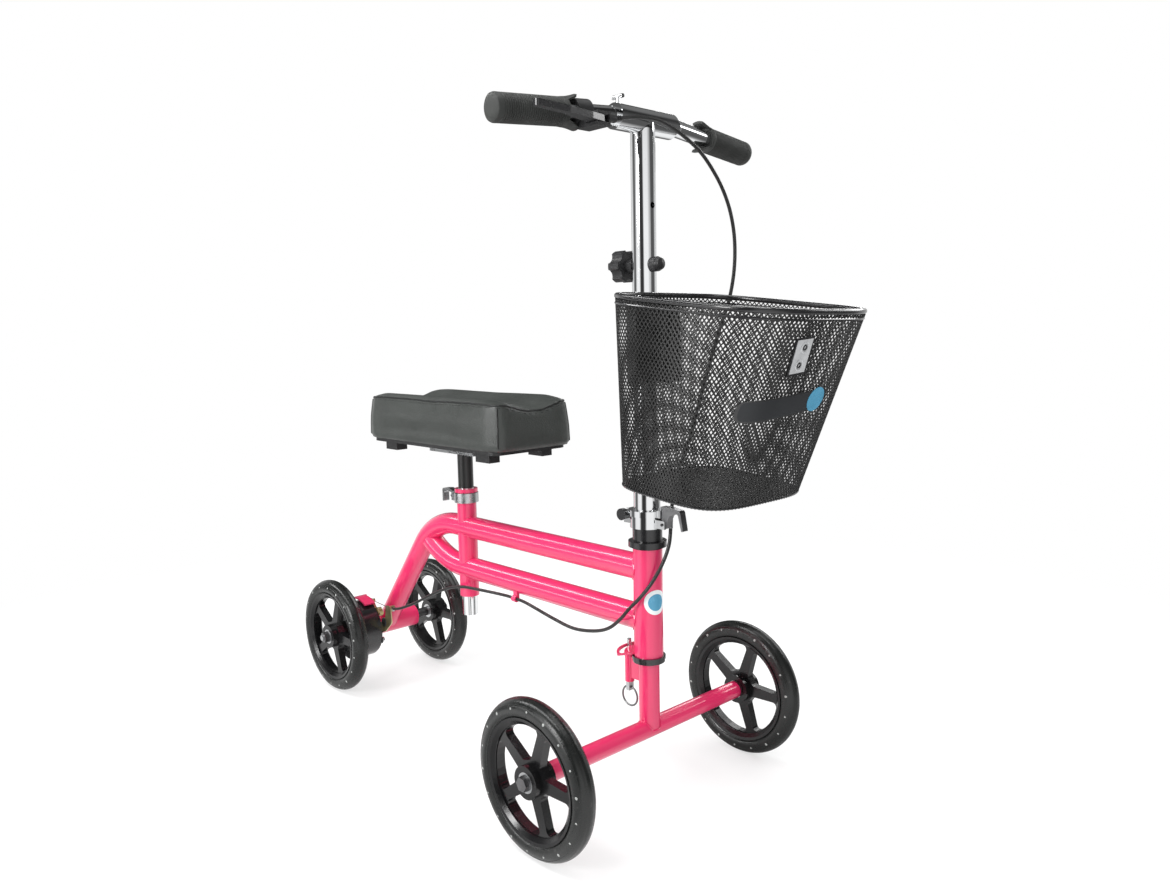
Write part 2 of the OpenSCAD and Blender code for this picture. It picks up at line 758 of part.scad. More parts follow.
// Clamp on the bar with the fork of the brake lever and the cable's adjuster
module brake_lever_clamp() {
    color(black) difference() {
        union() {
            stretch(bar_bend(-1), bar_end(-1), 33, 36, 58);
            translate([front_x, lever_y - 9, lever_z - 8]) cube([37, 21, 16]);
            translate([lever_pivot_x + 7, lever_y + 15, lever_z + 2]) bar_y(10, 12);
        }
        stretch(bar_bend(-1), bar_end(-1), bar_d, 0, 100);
        translate([lever_pivot_x - 10, lever_y - 30, lever_z - 4]) cube([41, 39, 8]);
        translate([lever_pivot_x, lever_y, lever_z - 20]) cylinder(d = 5, h = 40);
        translate([lever_pivot_x + 7, lever_y, lever_z + 2]) bar_y(3, 60);
    }
}

// Round nut on the front of the column that takes the star knob's bolt
module star_knob_nut() {
    color(black) translate([front_x, 0, star_knob_z]) difference() {
        rotate([0, 90, 0]) rotate_extrude($fn = fine) polygon([[0, 12], [8, 12], [9.5, 17],
            [9.5, 24], [7, 30], [0, 32]]);
        cylinder(d = column_d, h = 60, center = true, $fn = fine);
        translate([10, 0, 0]) bar_x(star_bolt_d + 2 * shaft_gap, 34);
    }
}

module basket_bracket() {
    color(black) difference() {
        translate([front_x + 8, -43, bracket_z0]) cube([16, 86, bracket_z1 - bracket_z0]);
        at_steering() cylinder(d = column_d, h = 900, $fn = fine);
    }
}

module star_knob() {
    color(black) translate([front_x, 0, star_knob_z]) rotate([0, -90, 0]) {
        translate([0, 0, 27]) linear_extrude(18) difference() {
            circle(d = 43, $fn = fine);
            for (i = [0 : 5]) rotate(60 * i) translate([26, 0]) circle(r = 9);
        }
        translate([0, 0, column_d / 2 + gap]) cylinder(d = 18, h = 12);
        translate([0, 0, -26]) cylinder(d = star_bolt_d, h = 54);
    }
}

// Blade on its pivot pin, reaching out along the grip
module brake_lever() {
    color(black) translate([lever_pivot_x, lever_y, 0]) {
        translate([0, 0, lever_z - 3.6]) linear_extrude(7.2) polygon(rounded([[-7, 6], [9, 6],
            [14, -20], [19, -60], [23, -112], [13, -112], [8, -60], [-6, -16]],
            [5, 5, 20, 60, 4, 4, 40, 10]));
        translate([0, 0, lever_z - 8]) cylinder(d = 5 - 2 * shaft_gap, h = 16);
    }
}

// ---------- Basket ----------

// Mouth or foot outline: straight at the middle of each side and rounded at the corners
function basket_outline(deep, wide, back, more) = [for (i = [0 : 51])
    let (a = 360 * (i + 0.5) / 52, e = 2 / 3.9)
    [back + deep / 2 + (deep / 2 + more) * sign(cos(a)) * pow(abs(cos(a)), e),
     (wide / 2 + more) * sign(sin(a)) * pow(abs(sin(a)), e)]];

module at_basket() {
    translate([basket_x, 0, basket_top_z]) rotate([0, basket_lean, 0]) children();
}

module basket_solid(more, floor_z) {
    hull() {
        translate([0, 0, -0.1]) linear_extrude(0.1)
            polygon(basket_outline(basket_deep, basket_w, 0, more));
        translate([0, 0, -basket_h + floor_z]) linear_extrude(0.1)
            polygon(basket_outline(basket_foot_deep, basket_foot_w, basket_taper, more));
    }
}

module basket_mesh() {
    color(black) at_basket() difference() {
        basket_solid(0, 0);
        translate([0, 0, 0.2]) basket_solid(-basket_wall, basket_wall);
    }
}

module basket_rim() {
    color(black) at_basket() linear_extrude(7) difference() {
        polygon(basket_outline(basket_deep, basket_w, 0, 1));
        polygon(basket_outline(basket_deep, basket_w, 0, -6));
    }
}

// Blank badge and clasp plates round the front, and the hook plate that hangs on the bracket
module basket_plates() {
    color(steel) at_basket() difference() {
        intersection() {
            basket_solid(1.5, 0);
            union() {
                translate([100, -28, -102]) rotate([5, 0, 0]) translate([0, -68, -13])
                    cube([200, 136, 26]);
                translate([100, -56, -66]) cube([200, 44, 42]);
            }
        }
        basket_solid(0, 0);
    }
    color(black) {
        translate([front_x + 24 + gap, -30, bracket_z0 + 20])
            cube([1.7 - gap, 60, bracket_z1 - bracket_z0 - 16]);
        translate([front_x + 17, -30, bracket_z1 + gap]) cube([7 + gap, 60, 4 - gap]);
    }
}

// ---------- Knee pad ----------

module seat_post() { color(black) at_seat() ring(post_d, post_d - 2 * wall, 176, plate_z + 6); }

module knee_pad_mount() {
    color(steel) at_seat() difference() {
        union() {
            translate([-58, -30, plate_z]) cube([122, 60, 3]);
            for (y = [-30, 27]) translate([-58, y, plate_z]) cube([122, 3, board_z0 - plate_z]);
        }
        cylinder(d = post_d, h = 900, $fn = fine);
    }
}

// Base board with its four block feet
module knee_pad_board() {
    color(black) translate([pad_x, 0, 0]) {
        translate([0, 0, board_z0]) linear_extrude(board_t) polygon(rounded([
            [-pad_len / 2 + 14, -pad_w / 2 + 8], [pad_len / 2 - 14, -pad_w / 2 + 8],
            [pad_len / 2 - 14, pad_w / 2 - 8], [-pad_len / 2 + 14, pad_w / 2 - 8]],
            [16, 16, 16, 16]));
        for (x = [-1, 1], y = [-1, 1]) translate([x * 128 - 17, y * 52 - 10, plate_z])
            cube([34, 20, board_z0 - plate_z]);
    }
}

// Padded block with a trough along it for the shin
module knee_pad() {
    w = pad_w / 2;
    t = pad_top_z;
    l = pad_len / 2;
    color(foam) translate([pad_x, 0, 0]) intersection() {
        translate([-l, 0, 0]) rotate([90, 0, 90]) linear_extrude(pad_len) polygon(rounded([
            [-w, pad_z0], [w, pad_z0], [w, t], [w - 14, t], [18, t - pad_trough],
            [-18, t - pad_trough], [-w + 14, t], [-w, t]], [8, 8, 10, 20, 40, 40, 20, 10]));
        translate([0, 0, pad_z0 - 1]) linear_extrude(100) polygon(rounded([[-l, -w], [l, -w],
            [l, w], [-l, w]], [26, 26, 26, 26]));
    }
}

// Clamp lever, closed and pointing back
module seat_release_lever() {
    color(chrome) at_seat() translate([0, 0, seat_lever_z]) difference() {
        upright(rounded([[-21.5, -4.5], [-21.5, 4.5], [-44, 10], [-62, 8], [-62, -14],
            [-57, -14], [-57, 3], [-44, 5], [-32, 2], [-30.5, -4.5]],
            [3.5, 3.5, 8, 4, 1, 1, 3, 8, 1, 3]),
            -5.2, 5.2);
        translate([-26, 0, 0]) bar_y(5 + 2 * shaft_gap, 40);
    }
}

// ---------- Rear brake, moving parts ----------

// Cam on its shaft, with the arm that the cable pulls
module brake_arm() {
    color(zinc) at_rear() {
        translate([cam_dx, -55, cam_dz]) bar_y(cam_d, 38);
        upright(rounded([[cam_dx - 8, cam_dz - 8], [cam_dx + 8, cam_dz - 8],
            [cam_dx + 8, cam_dz + 8], [arm_dx + 6, arm_dz + 5], [arm_dx - 6, arm_dz + 5],
            [arm_dx - 6, arm_dz - 5]], [7, 7, 5, 4, 4, 4]), -39.5, -35.5);
        translate([arm_dx, -34.6, arm_dz]) bar_y(7, 10);
    }
}

// Drum open towards the frame, on the right rear wheel's hub
module brake_drum() {
    color(black) at_rear() rotate([90, 0, 0]) difference() {
        union() {
            translate([0, 0, -drum_y1]) cylinder(r = drum_r, h = drum_y1 - drum_y0, $fn = fine);
            translate([0, 0, -drum_y0]) cylinder(d = 42, h = (rear_track - hub_w) / 2 + drum_y0,
                $fn = fine);
        }
        translate([0, 0, -drum_y1 - 1]) cylinder(r = drum_r - 4, h = drum_y1 - drum_y0 - 3,
            $fn = fine);
        cylinder(d = 16, h = 200, $fn = fine);
    }
}

head_tube();
upper_main_tube();
rear_slope_tube();
lower_main_tube();
seat_tube();
rear_crossbar();
steering_lock_plate();
frame_brackets();
headset_cups();
rear_axle();
rear_axle_hardware();
seat_collar();
brake_back_plate();
brake_shoes();
brake_cable_anchor();
brake_cable();
front_steerer();
front_crossbar();
headset_races();
fold_hinge_base();
fold_hinge_pin();
lock_pin_housing();
front_axle_hardware();
lock_pin();
lock_pin_spring();
lock_pull_ring();
fold_latch_lever();
fold_hinge_top();
column_inner_post();
handlebar_column();
handlebar_sleeve();
handlebar_tube();
handlebar_grips();
brake_lever_clamp();
star_knob_nut();
basket_bracket();
star_knob();
brake_lever();
basket_mesh();
basket_rim();
basket_plates();
seat_post();
knee_pad_mount();
knee_pad_board();
knee_pad();
seat_release_lever();
brake_arm();
brake_drum();
rim_front_left();
rim_front_right();
rim_rear_left();
rim_rear_right();
tyre_front_left();
tyre_front_right();
tyre_rear_left();
tyre_rear_right();
bearings_front_left();
bearings_front_right();
bearings_rear_left();
bearings_rear_right();
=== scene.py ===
"""Knee scooter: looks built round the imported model, in metres."""
import math

import bmesh
import bpy
from mathutils import Matrix, Vector
from mathutils.bvhtree import BVHTree


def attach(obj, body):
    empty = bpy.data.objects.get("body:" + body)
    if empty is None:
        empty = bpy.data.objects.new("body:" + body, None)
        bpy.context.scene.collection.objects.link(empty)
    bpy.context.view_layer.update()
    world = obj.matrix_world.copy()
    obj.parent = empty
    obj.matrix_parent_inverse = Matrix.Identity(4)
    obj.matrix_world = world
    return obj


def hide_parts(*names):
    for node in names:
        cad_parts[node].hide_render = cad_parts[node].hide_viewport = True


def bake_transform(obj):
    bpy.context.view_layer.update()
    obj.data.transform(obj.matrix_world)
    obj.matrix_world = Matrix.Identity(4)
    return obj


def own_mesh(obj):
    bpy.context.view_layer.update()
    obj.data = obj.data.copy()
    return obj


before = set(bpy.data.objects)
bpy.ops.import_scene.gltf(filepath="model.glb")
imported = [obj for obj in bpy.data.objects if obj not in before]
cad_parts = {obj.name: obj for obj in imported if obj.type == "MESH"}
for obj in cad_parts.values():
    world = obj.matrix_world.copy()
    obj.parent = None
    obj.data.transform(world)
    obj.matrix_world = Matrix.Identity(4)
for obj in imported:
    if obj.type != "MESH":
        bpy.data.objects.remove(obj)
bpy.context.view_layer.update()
scene = bpy.context.scene

MM = 0.001
FRONT_X = 253.4
REAR_X = -431.6
SEAT_X = -157.6
AXLE_Z = 101.5


def mm(x, y, z):
    return Vector((x * MM, y * MM, z * MM))


# ---------- Camera, floor and light ----------

def make_camera():
    yaw, pitch, roll = 2.39, 0.1255, -0.0203
    look = Vector((math.cos(yaw) * math.cos(pitch), math.sin(yaw) * math.cos(pitch),
                   -math.sin(pitch)))
    right = Vector((math.sin(yaw), -math.cos(yaw), 0))
    up = right.cross(look)
    x_axis = math.cos(roll) * right + math.sin(roll) * up
    y_axis = -math.sin(roll) * right + math.cos(roll) * up
    data = bpy.data.cameras.new("view")
    data.sensor_width = 36
    data.lens = 28.41
    data.clip_start, data.clip_end = 0.05, 60
    cam = bpy.data.objects.new("view", data)
    scene.collection.objects.link(cam)
    turn = Matrix((x_axis, y_axis, -look)).transposed().to_4x4()
    cam.matrix_world = Matrix.Translation((1.08582, -0.88952, 0.64579)) @ turn
    scene.camera = cam


def area_light(name, place, target, size, power):
    data = bpy.data.lights.new(name, "AREA")
    data.shape = "RECTANGLE"
    data.size, data.size_y = size
    data.energy = power
    lamp = bpy.data.objects.new(name, data)
    scene.collection.objects.link(lamp)
    lamp.visible_camera = False
    back = (Vector(place) - Vector(target)).normalized()
    across = (Vector((1, 0, 0)) - back * back.x).normalized()
    turn = Matrix((across, back.cross(across), back)).transposed().to_4x4()
    lamp.matrix_world = Matrix.Translation(place) @ turn


BANDS = [(-180, 0.9), (-150, 0.12), (-134, 0.12), (-120, 0.95), (-92, 1.0), (-80, 0.04),
         (-54, 0.04), (-44, 1.0), (-8, 1.0), (10, 0.55), (24, 0.1), (58, 0.1), (74, 0.75),
         (112, 0.8), (126, 0.12), (150, 0.12), (164, 0.9)]


def banded(tree, vector):
    """Brightness round the horizon for reflections only: plain white everywhere else."""
    new, link = tree.nodes.new, tree.links.new
    parts = new("ShaderNodeSeparateXYZ")
    link(vector, parts.inputs[0])
    angle = new("ShaderNodeMath")
    angle.operation = "ARCTAN2"
    link(parts.outputs["Y"], angle.inputs[0])
    link(parts.outputs["X"], angle.inputs[1])
    spread = new("ShaderNodeMapRange")
    spread.inputs["From Min"].default_value = -math.pi
    spread.inputs["From Max"].default_value = math.pi
    link(angle.outputs[0], spread.inputs["Value"])
    ramp = new("ShaderNodeValToRGB")
    stops = ramp.color_ramp.elements
    while len(stops) < len(BANDS):
        stops.new(0.5)
    for stop, (degrees, value) in zip(stops, BANDS):
        stop.position = degrees / 360 + 0.5
        stop.color = (value, value, value, 1)
    link(spread.outputs["Result"], ramp.inputs["Fac"])
    high = new("ShaderNodeValToRGB")
    high.color_ramp.elements[0].position = 0.12
    high.color_ramp.elements[0].color = (1, 1, 1, 1)
    high.color_ramp.elements[1].position = 0.55
    high.color_ramp.elements[1].color = (0.22, 0.22, 0.22, 1)
    link(parts.outputs["Z"], high.inputs["Fac"])
    both = new("ShaderNodeMix")
    both.data_type = "RGBA"
    both.blend_type = "MULTIPLY"
    both.inputs["Factor"].default_value = 1.0
    link(ramp.outputs["Color"], both.inputs["A"])
    link(high.outputs["Color"], both.inputs["B"])
    path = new("ShaderNodeLightPath")
    plain = new("ShaderNodeMix")
    plain.data_type = "RGBA"
    plain.inputs["A"].default_value = (1, 1, 1, 1)
    link(path.outputs["Is Glossy Ray"], plain.inputs["Factor"])
    link(both.outputs["Result"], plain.inputs["B"])
    return plain.outputs["Result"]


def make_lights():
    centre = (0, 0, 0.35)
    area_light("key", (-0.2, -2.9, 1.5), centre, (0.9, 0.9), 46)
    area_light("strip_high", (-1.3, -0.95, 2.3), (-1.3, 0, 0.3), (4.0, 0.32), 44)
    area_light("strip_low", (-1.6, -2.4, 0.55), (-1.6, 0, 0.35), (3.4, 0.22), 14)
    area_light("strip_back", (0.0, 2.2, 1.6), (0, 0, 0.4), (3.2, 0.4), 20)
    area_light("top", (0.6, 0.3, 2.7), (0.6, 0, 0), (1.6, 0.6), 16)
    world = bpy.data.worlds.new("studio")
    scene.world = world
    world.use_nodes = True
    tree = world.node_tree
    tree.nodes.clear()
    new, link = tree.nodes.new, tree.links.new
    coords = new("ShaderNodeTexCoord")
    back = new("ShaderNodeBackground")
    link(banded(tree, coords.outputs["Generated"]), back.inputs["Color"])
    out = new("ShaderNodeOutputWorld")
    link(back.outputs[0], out.inputs["Surface"])


def make_floor():
    """A pale floor that turns plain white away from the object, so it has no edge."""
    rings, sides = [0.0, 0.8, 1.6, 4.0, 30.0], 64
    verts = [(r * math.cos(math.tau * k / sides), r * math.sin(math.tau * k / sides), 0)
             for r in rings[1:] for k in range(sides)]
    faces = [[i * sides + k, i * sides + (k + 1) % sides, (i + 1) * sides + (k + 1) % sides,
              (i + 1) * sides + k] for i in range(len(rings) - 2) for k in range(sides)]
    faces.append(list(range(sides)))
    mesh = bpy.data.meshes.new("floor")
    mesh.from_pydata(verts, [], faces)
    floor = bpy.data.objects.new("floor", mesh)
    scene.collection.objects.link(floor)
    mat = bpy.data.materials.new("floor_pale")
    mat.use_nodes = True
    tree = mat.node_tree
    tree.nodes.clear()
    new, link = tree.nodes.new, tree.links.new
    coords = new("ShaderNodeTexCoord")
    size = new("ShaderNodeVectorMath")
    size.operation = "LENGTH"
    link(coords.outputs["Object"], size.inputs[0])
    fade = new("ShaderNodeMapRange")
    fade.inputs["From Min"].default_value = 0.75
    fade.inputs["From Max"].default_value = 1.6
    fade.interpolation_type = "SMOOTHSTEP"
    fade.inputs["To Min"].default_value = 0.62
    link(size.outputs["Value"], fade.inputs["Value"])
    matte = new("ShaderNodeBsdfDiffuse")
    matte.inputs["Color"].default_value = (0.9, 0.9, 0.9, 1)
    glow = new("ShaderNodeEmission")
    flat = new("ShaderNodeVectorMath")
    flat.operation = "MULTIPLY"
    flat.inputs[1].default_value = (1, 1, 0)
    link(coords.outputs["Object"], flat.inputs[0])
    link(banded(tree, flat.outputs["Vector"]), glow.inputs["Color"])
    mix = new("ShaderNodeMixShader")
    link(fade.outputs["Result"], mix.inputs[0])
    link(matte.outputs[0], mix.inputs[1])
    link(glow.outputs[0], mix.inputs[2])
    out = new("ShaderNodeOutputMaterial")
    link(mix.outputs[0], out.inputs["Surface"])
    mesh.materials.append(mat)


make_camera()
make_lights()
make_floor()
scene.view_settings.view_transform = "Standard"


# ---------- Materials ----------

def material(name, colour, rough, metal=0.0, coat=0.0, coat_rough=0.05, specular=0.5,
             tone=0.08, patch=25.0, smear=0.05, bumps=(), scuff=0.0, scuff_colour=None):
    """Finish with mottled colour, uneven gloss, relief from bumps = [(kind, scale, depth)]
    and pale or dark rubbed specks."""
    mat = bpy.data.materials.new(name)
    mat.use_nodes = True
    tree = mat.node_tree
    new, link = tree.nodes.new, tree.links.new
    shader = tree.nodes["Principled BSDF"]
    shader.inputs["Metallic"].default_value = metal
    shader.inputs["Coat Weight"].default_value = coat
    shader.inputs["Coat Roughness"].default_value = coat_rough
    shader.inputs["Specular IOR Level"].default_value = specular
    coords = new("ShaderNodeTexCoord")

    def noise(scale, detail=3.0):
        node = new("ShaderNodeTexNoise")
        node.inputs["Scale"].default_value = scale
        node.inputs["Detail"].default_value = detail
        link(coords.outputs["Object"], node.inputs["Vector"])
        return node.outputs["Fac"]

    shade = new("ShaderNodeValToRGB")
    low, high = shade.color_ramp.elements
    low.position, high.position = 0.3, 0.7
    low.color = [c * (1 - tone) for c in colour] + [1]
    high.color = [min(1, c * (1 + tone)) for c in colour] + [1]
    link(noise(patch), shade.inputs["Fac"])
    out = shade.outputs["Color"]
    if scuff:
        spots = new("ShaderNodeMapRange")
        spots.inputs["From Min"].default_value = 0.66
        spots.inputs["From Max"].default_value = 0.74
        spots.inputs["To Max"].default_value = scuff
        link(noise(190, 6.0), spots.inputs["Value"])
        rub = new("ShaderNodeMix")
        rub.data_type = "RGBA"
        rub.inputs["B"].default_value = list(scuff_colour) + [1]
        link(spots.outputs["Result"], rub.inputs["Factor"])
        link(out, rub.inputs["A"])
        out = rub.outputs["Result"]
    link(out, shader.inputs["Base Color"])
    gloss = new("ShaderNodeMapRange")
    gloss.inputs["From Min"].default_value = 0.3
    gloss.inputs["From Max"].default_value = 0.7
    gloss.inputs["To Min"].default_value = max(0.02, rough - smear)
    gloss.inputs["To Max"].default_value = rough + smear
    link(noise(60, 4.0), gloss.inputs["Value"])
    link(gloss.outputs["Result"], shader.inputs["Roughness"])
    normal = None
    for kind, scale, depth in bumps:
        if kind == "cells":
            node = new("ShaderNodeTexVoronoi")
            node.inputs["Scale"].default_value = scale
            link(coords.outputs["Object"], node.inputs["Vector"])
            height = node.outputs["Distance"]
        else:
            height = noise(scale, 2.0)
        bump = new("ShaderNodeBump")
        bump.inputs["Strength"].default_value = 1.0
        bump.inputs["Distance"].default_value = depth * MM
        link(height, bump.inputs["Height"])
        if normal:
            link(normal, bump.inputs["Normal"])
        normal = bump.outputs["Normal"]
    if normal:
        link(normal, shader.inputs["Normal"])
    return mat


def two_tone(name, base, colour, z_low, z_high, rough):
    """base, with another dark finish between two heights of the piece."""
    mat = base.copy()
    mat.name = name
    tree = mat.node_tree
    new, link = tree.nodes.new, tree.links.new
    shader = tree.nodes["Principled BSDF"]
    coords = new("ShaderNodeTexCoord")
    parts = new("ShaderNodeSeparateXYZ")
    link(coords.outputs["Object"], parts.inputs[0])
    above = new("ShaderNodeMath")
    above.operation = "GREATER_THAN"
    above.inputs[1].default_value = z_low
    link(parts.outputs["Z"], above.inputs[0])
    below = new("ShaderNodeMath")
    below.operation = "LESS_THAN"
    below.inputs[1].default_value = z_high
    link(parts.outputs["Z"], below.inputs[0])
    both = new("ShaderNodeMath")
    both.operation = "MULTIPLY"
    link(above.outputs[0], both.inputs[0])
    link(below.outputs[0], both.inputs[1])
    paint = new("ShaderNodeMix")
    paint.data_type = "RGBA"
    link(both.outputs[0], paint.inputs["Factor"])
    link(shader.inputs["Base Color"].links[0].from_socket, paint.inputs["A"])
    paint.inputs["B"].default_value = list(colour) + [1]
    link(paint.outputs["Result"], shader.inputs["Base Color"])
    dull = new("ShaderNodeMix")
    link(both.outputs[0], dull.inputs["Factor"])
    link(shader.inputs["Roughness"].links[0].from_socket, dull.inputs["A"])
    dull.inputs["B"].default_value = rough
    link(dull.outputs["Result"], shader.inputs["Roughness"])
    plain = new("ShaderNodeMath")
    plain.operation = "SUBTRACT"
    plain.inputs[0].default_value = 1.0
    link(both.outputs[0], plain.inputs[1])
    link(plain.outputs[0], shader.inputs["Metallic"])
    return mat


PINK = material("pink_paint", (0.72, 0.02, 0.118), 0.34, coat=1.0, coat_rough=0.1, tone=0.05,
                patch=9, bumps=[("noise", 45, 0.02)])
GLOSS = material("gloss_black", (0.012, 0.012, 0.013), 0.24, coat=0.5, coat_rough=0.08,
                 tone=0.3, patch=14, bumps=[("noise", 240, 0.05)], scuff=0.2,
                 scuff_colour=(0.07, 0.07, 0.07))
PLASTIC = material("black_plastic", (0.018, 0.018, 0.019), 0.42, tone=0.25, patch=18,
                   bumps=[("cells", 900, 0.06)], scuff=0.25, scuff_colour=(0.06, 0.06, 0.06))
RIM = material("rim_black", (0.005, 0.005, 0.0055), 0.24, tone=0.3, patch=16,
               bumps=[("noise", 300, 0.06)], scuff=0.3, scuff_colour=(0.05, 0.05, 0.05))
CHROME = material("chrome", (0.86, 0.87, 0.88), 0.055, metal=1.0, tone=0.03, patch=12,
                  smear=0.025, bumps=[("noise", 30, 0.02)], scuff=0.25,
                  scuff_colour=(0.55, 0.54, 0.52))
STEEL = material("steel", (0.56, 0.57, 0.58), 0.3, metal=1.0, tone=0.08, patch=40, smear=0.08,
                 bumps=[("noise", 500, 0.03)], scuff=0.4, scuff_colour=(0.35, 0.34, 0.33))
ZINC = material("zinc", (0.66, 0.58, 0.33), 0.34, metal=1.0, tone=0.18, patch=60, smear=0.1,
                bumps=[("noise", 420, 0.04)], scuff=0.4, scuff_colour=(0.45, 0.5, 0.35))
GRIP = material("grip_rubber", (0.028, 0.03, 0.028), 0.62, tone=0.2, patch=40,
                bumps=[("cells", 1500, 0.08)], scuff=0.15, scuff_colour=(0.07, 0.07, 0.07))
TYRE = material("tyre_rubber", (0.009, 0.010, 0.0095), 0.27, tone=0.2, patch=20, smear=0.08,
                bumps=[("noise", 600, 0.06)], scuff=0.35, scuff_colour=(0.08, 0.08, 0.075))
WIRE = material("basket_wire", (0.013, 0.013, 0.013), 0.42, tone=0.25, patch=30,
                bumps=[("noise", 500, 0.04)])
VINYL = material("pad_vinyl", (0.036, 0.040, 0.037), 0.42, tone=0.14, patch=16, smear=0.07,
                 bumps=[("cells", 520, 0.16), ("noise", 34, 0.6)])
# near-black, darker than the vinyl: partly real piping and stitching, partly a painted shadow
# under the pad's top edge and painted shade down its corners
PIPING_SHADOW_BLACK = material("pad_piping_painted_shadow", (0.008, 0.009, 0.0085), 0.5, tone=0.2, patch=300,
                  bumps=[("noise", 900, 0.1)])
BADGE = material("badge_face", (0.012, 0.014, 0.017), 0.45, tone=0.15, patch=30)
SILVER = material("silver_plate", (0.62, 0.63, 0.64), 0.42, metal=0.35, tone=0.08, patch=90,
                  bumps=[("noise", 600, 0.03)])
DARK_STEEL = material("dark_steel", (0.22, 0.22, 0.225), 0.32, metal=1.0, tone=0.1, patch=60,
                      bumps=[("noise", 500, 0.03)])
BLUE = material("badge_blue", (0.07, 0.30, 0.47), 0.25, coat=0.4, tone=0.08, patch=60)
WHITE = material("badge_white", (0.80, 0.84, 0.86), 0.3, coat=0.3, tone=0.03, patch=60)
# pale grey for the little sidewall domes: a painted highlight standing for the glints on the
# bumps, not a colour of the rubber
DOT_HIGHLIGHT_GREY = material("sidewall_dot_painted_highlight", (0.33, 0.34, 0.33), 0.5, tone=0.1, patch=80)
CABLE = material("cable_housing", (0.018, 0.018, 0.018), 0.34, tone=0.2, patch=50,
                 bumps=[("noise", 400, 0.04)])
POST = two_tone("seat_post_finish", CHROME, (0.014, 0.014, 0.014), 0.392, 0.5, 0.3)

NODE_FINISH = {
    PINK: ["head_tube", "upper_main_tube", "rear_slope_tube", "lower_main_tube", "seat_tube",
           "rear_crossbar", "steering_lock_plate", "frame_brackets", "front_steerer",
           "front_crossbar", "lock_pin_housing"],
    GLOSS: ["headset_cups", "headset_races", "fold_hinge_pin", "brake_back_plate",
            "brake_drum", "brake_lever"],
    PLASTIC: ["star_knob", "star_knob_nut", "brake_lever_clamp", "basket_bracket",
              "knee_pad_board", "brake_shoes"],
    RIM: ["rim_front_left", "rim_front_right", "rim_rear_left", "rim_rear_right"],
    CHROME: ["fold_hinge_base", "fold_hinge_top", "column_inner_post", "handlebar_column",
             "handlebar_sleeve", "handlebar_tube"],
    DARK_STEEL: ["lock_pull_ring", "fold_latch_lever", "front_axle_hardware",
                 "rear_axle_hardware"],
    STEEL: ["seat_release_lever", "rear_axle", "seat_collar", "lock_pin", "lock_pin_spring",
            "knee_pad_mount", "bearings_front_left", "bearings_front_right",
            "bearings_rear_left", "bearings_rear_right"],
    ZINC: ["brake_cable_anchor", "brake_arm"],
    POST: ["seat_post"],
}


def finish_nodes():
    for mat, nodes in NODE_FINISH.items():
        for node in nodes:
            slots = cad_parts[node].data.materials
            if not len(slots):
                slots.append(mat)
            for i in range(len(slots)):
                slots[i] = mat


finish_nodes()


# ---------- Mesh helpers ----------

def sweep(path, radius, sides=12, closed=False, flat=1.0, first=None):
    """(verts, faces) of a round tube along path. radius is a number or a list."""
    n = len(path)
    radii = radius if isinstance(radius, (list, tuple)) else [radius] * n
    tangents = []
    for i in range(n):
        a = path[(i - 1) % n] if closed else path[max(i - 1, 0)]
        b = path[(i + 1) % n] if closed else path[min(i + 1, n - 1)]
        tangents.append((b - a).normalized())
    side = Vector(first) if first else Vector((0, 0, 1))
    if abs(tangents[0].dot(side)) > 0.9:
        side = Vector((1, 0, 0))
    verts = []
    for i in range(n):
        if not (first and closed):
            side = side - tangents[i] * side.dot(tangents[i])
            side.normalize()
            s = side
        else:
            s = (Vector(first) - tangents[i] * Vector(first).dot(tangents[i])).normalized()
        other = tangents[i].cross(s)
        for k in range(sides):
            a = math.tau * k / sides
            verts.append(path[i] + radii[i] * (math.cos(a) * s + flat * math.sin(a) * other))
    faces = []
    for i in range(n if closed else n - 1):
        j = (i + 1) % n
        for k in range(sides):
            m = (k + 1) % sides
            faces.append([i * sides + k, j * sides + k, j * sides + m, i * sides + m])
    if not closed:
        faces.append(list(range(sides)))
        faces.append([(n - 1) * sides + k for k in reversed(range(sides))])
    return verts, faces


def lathe(profile, origin, axis, segments=64, loop=True, wobble=None):
    """(verts, faces) of profile = [(radius, height)] turned about axis through origin."""
    axis = Vector(axis).normalized()
    u = axis.orthogonal().normalized()
    if abs(axis.z) < 0.9:
        u = (Vector((0, 0, 1)) - axis * axis.z).normalized()
    v = axis.cross(u)
    n = len(profile)
    verts = []
    for k in range(segments):
        a = math.tau * k / segments
        out = math.cos(a) * u + math.sin(a) * v
        for r, h in profile:
            grow = wobble(a, r, h) if wobble else 0
            verts.append(origin + (r + grow) * out + h * axis)
    faces = []
    for k in range(segments):
        m = (k + 1) % segments
        for i in range(n if loop else n - 1):
            j = (i + 1) % n
            faces.append([k * n + i, k * n + j, m * n + j, m * n + i])
    if not loop:
        faces.append([k * n for k in range(segments)])
        faces.append([k * n + n - 1 for k in range(segments)])
    return verts, faces


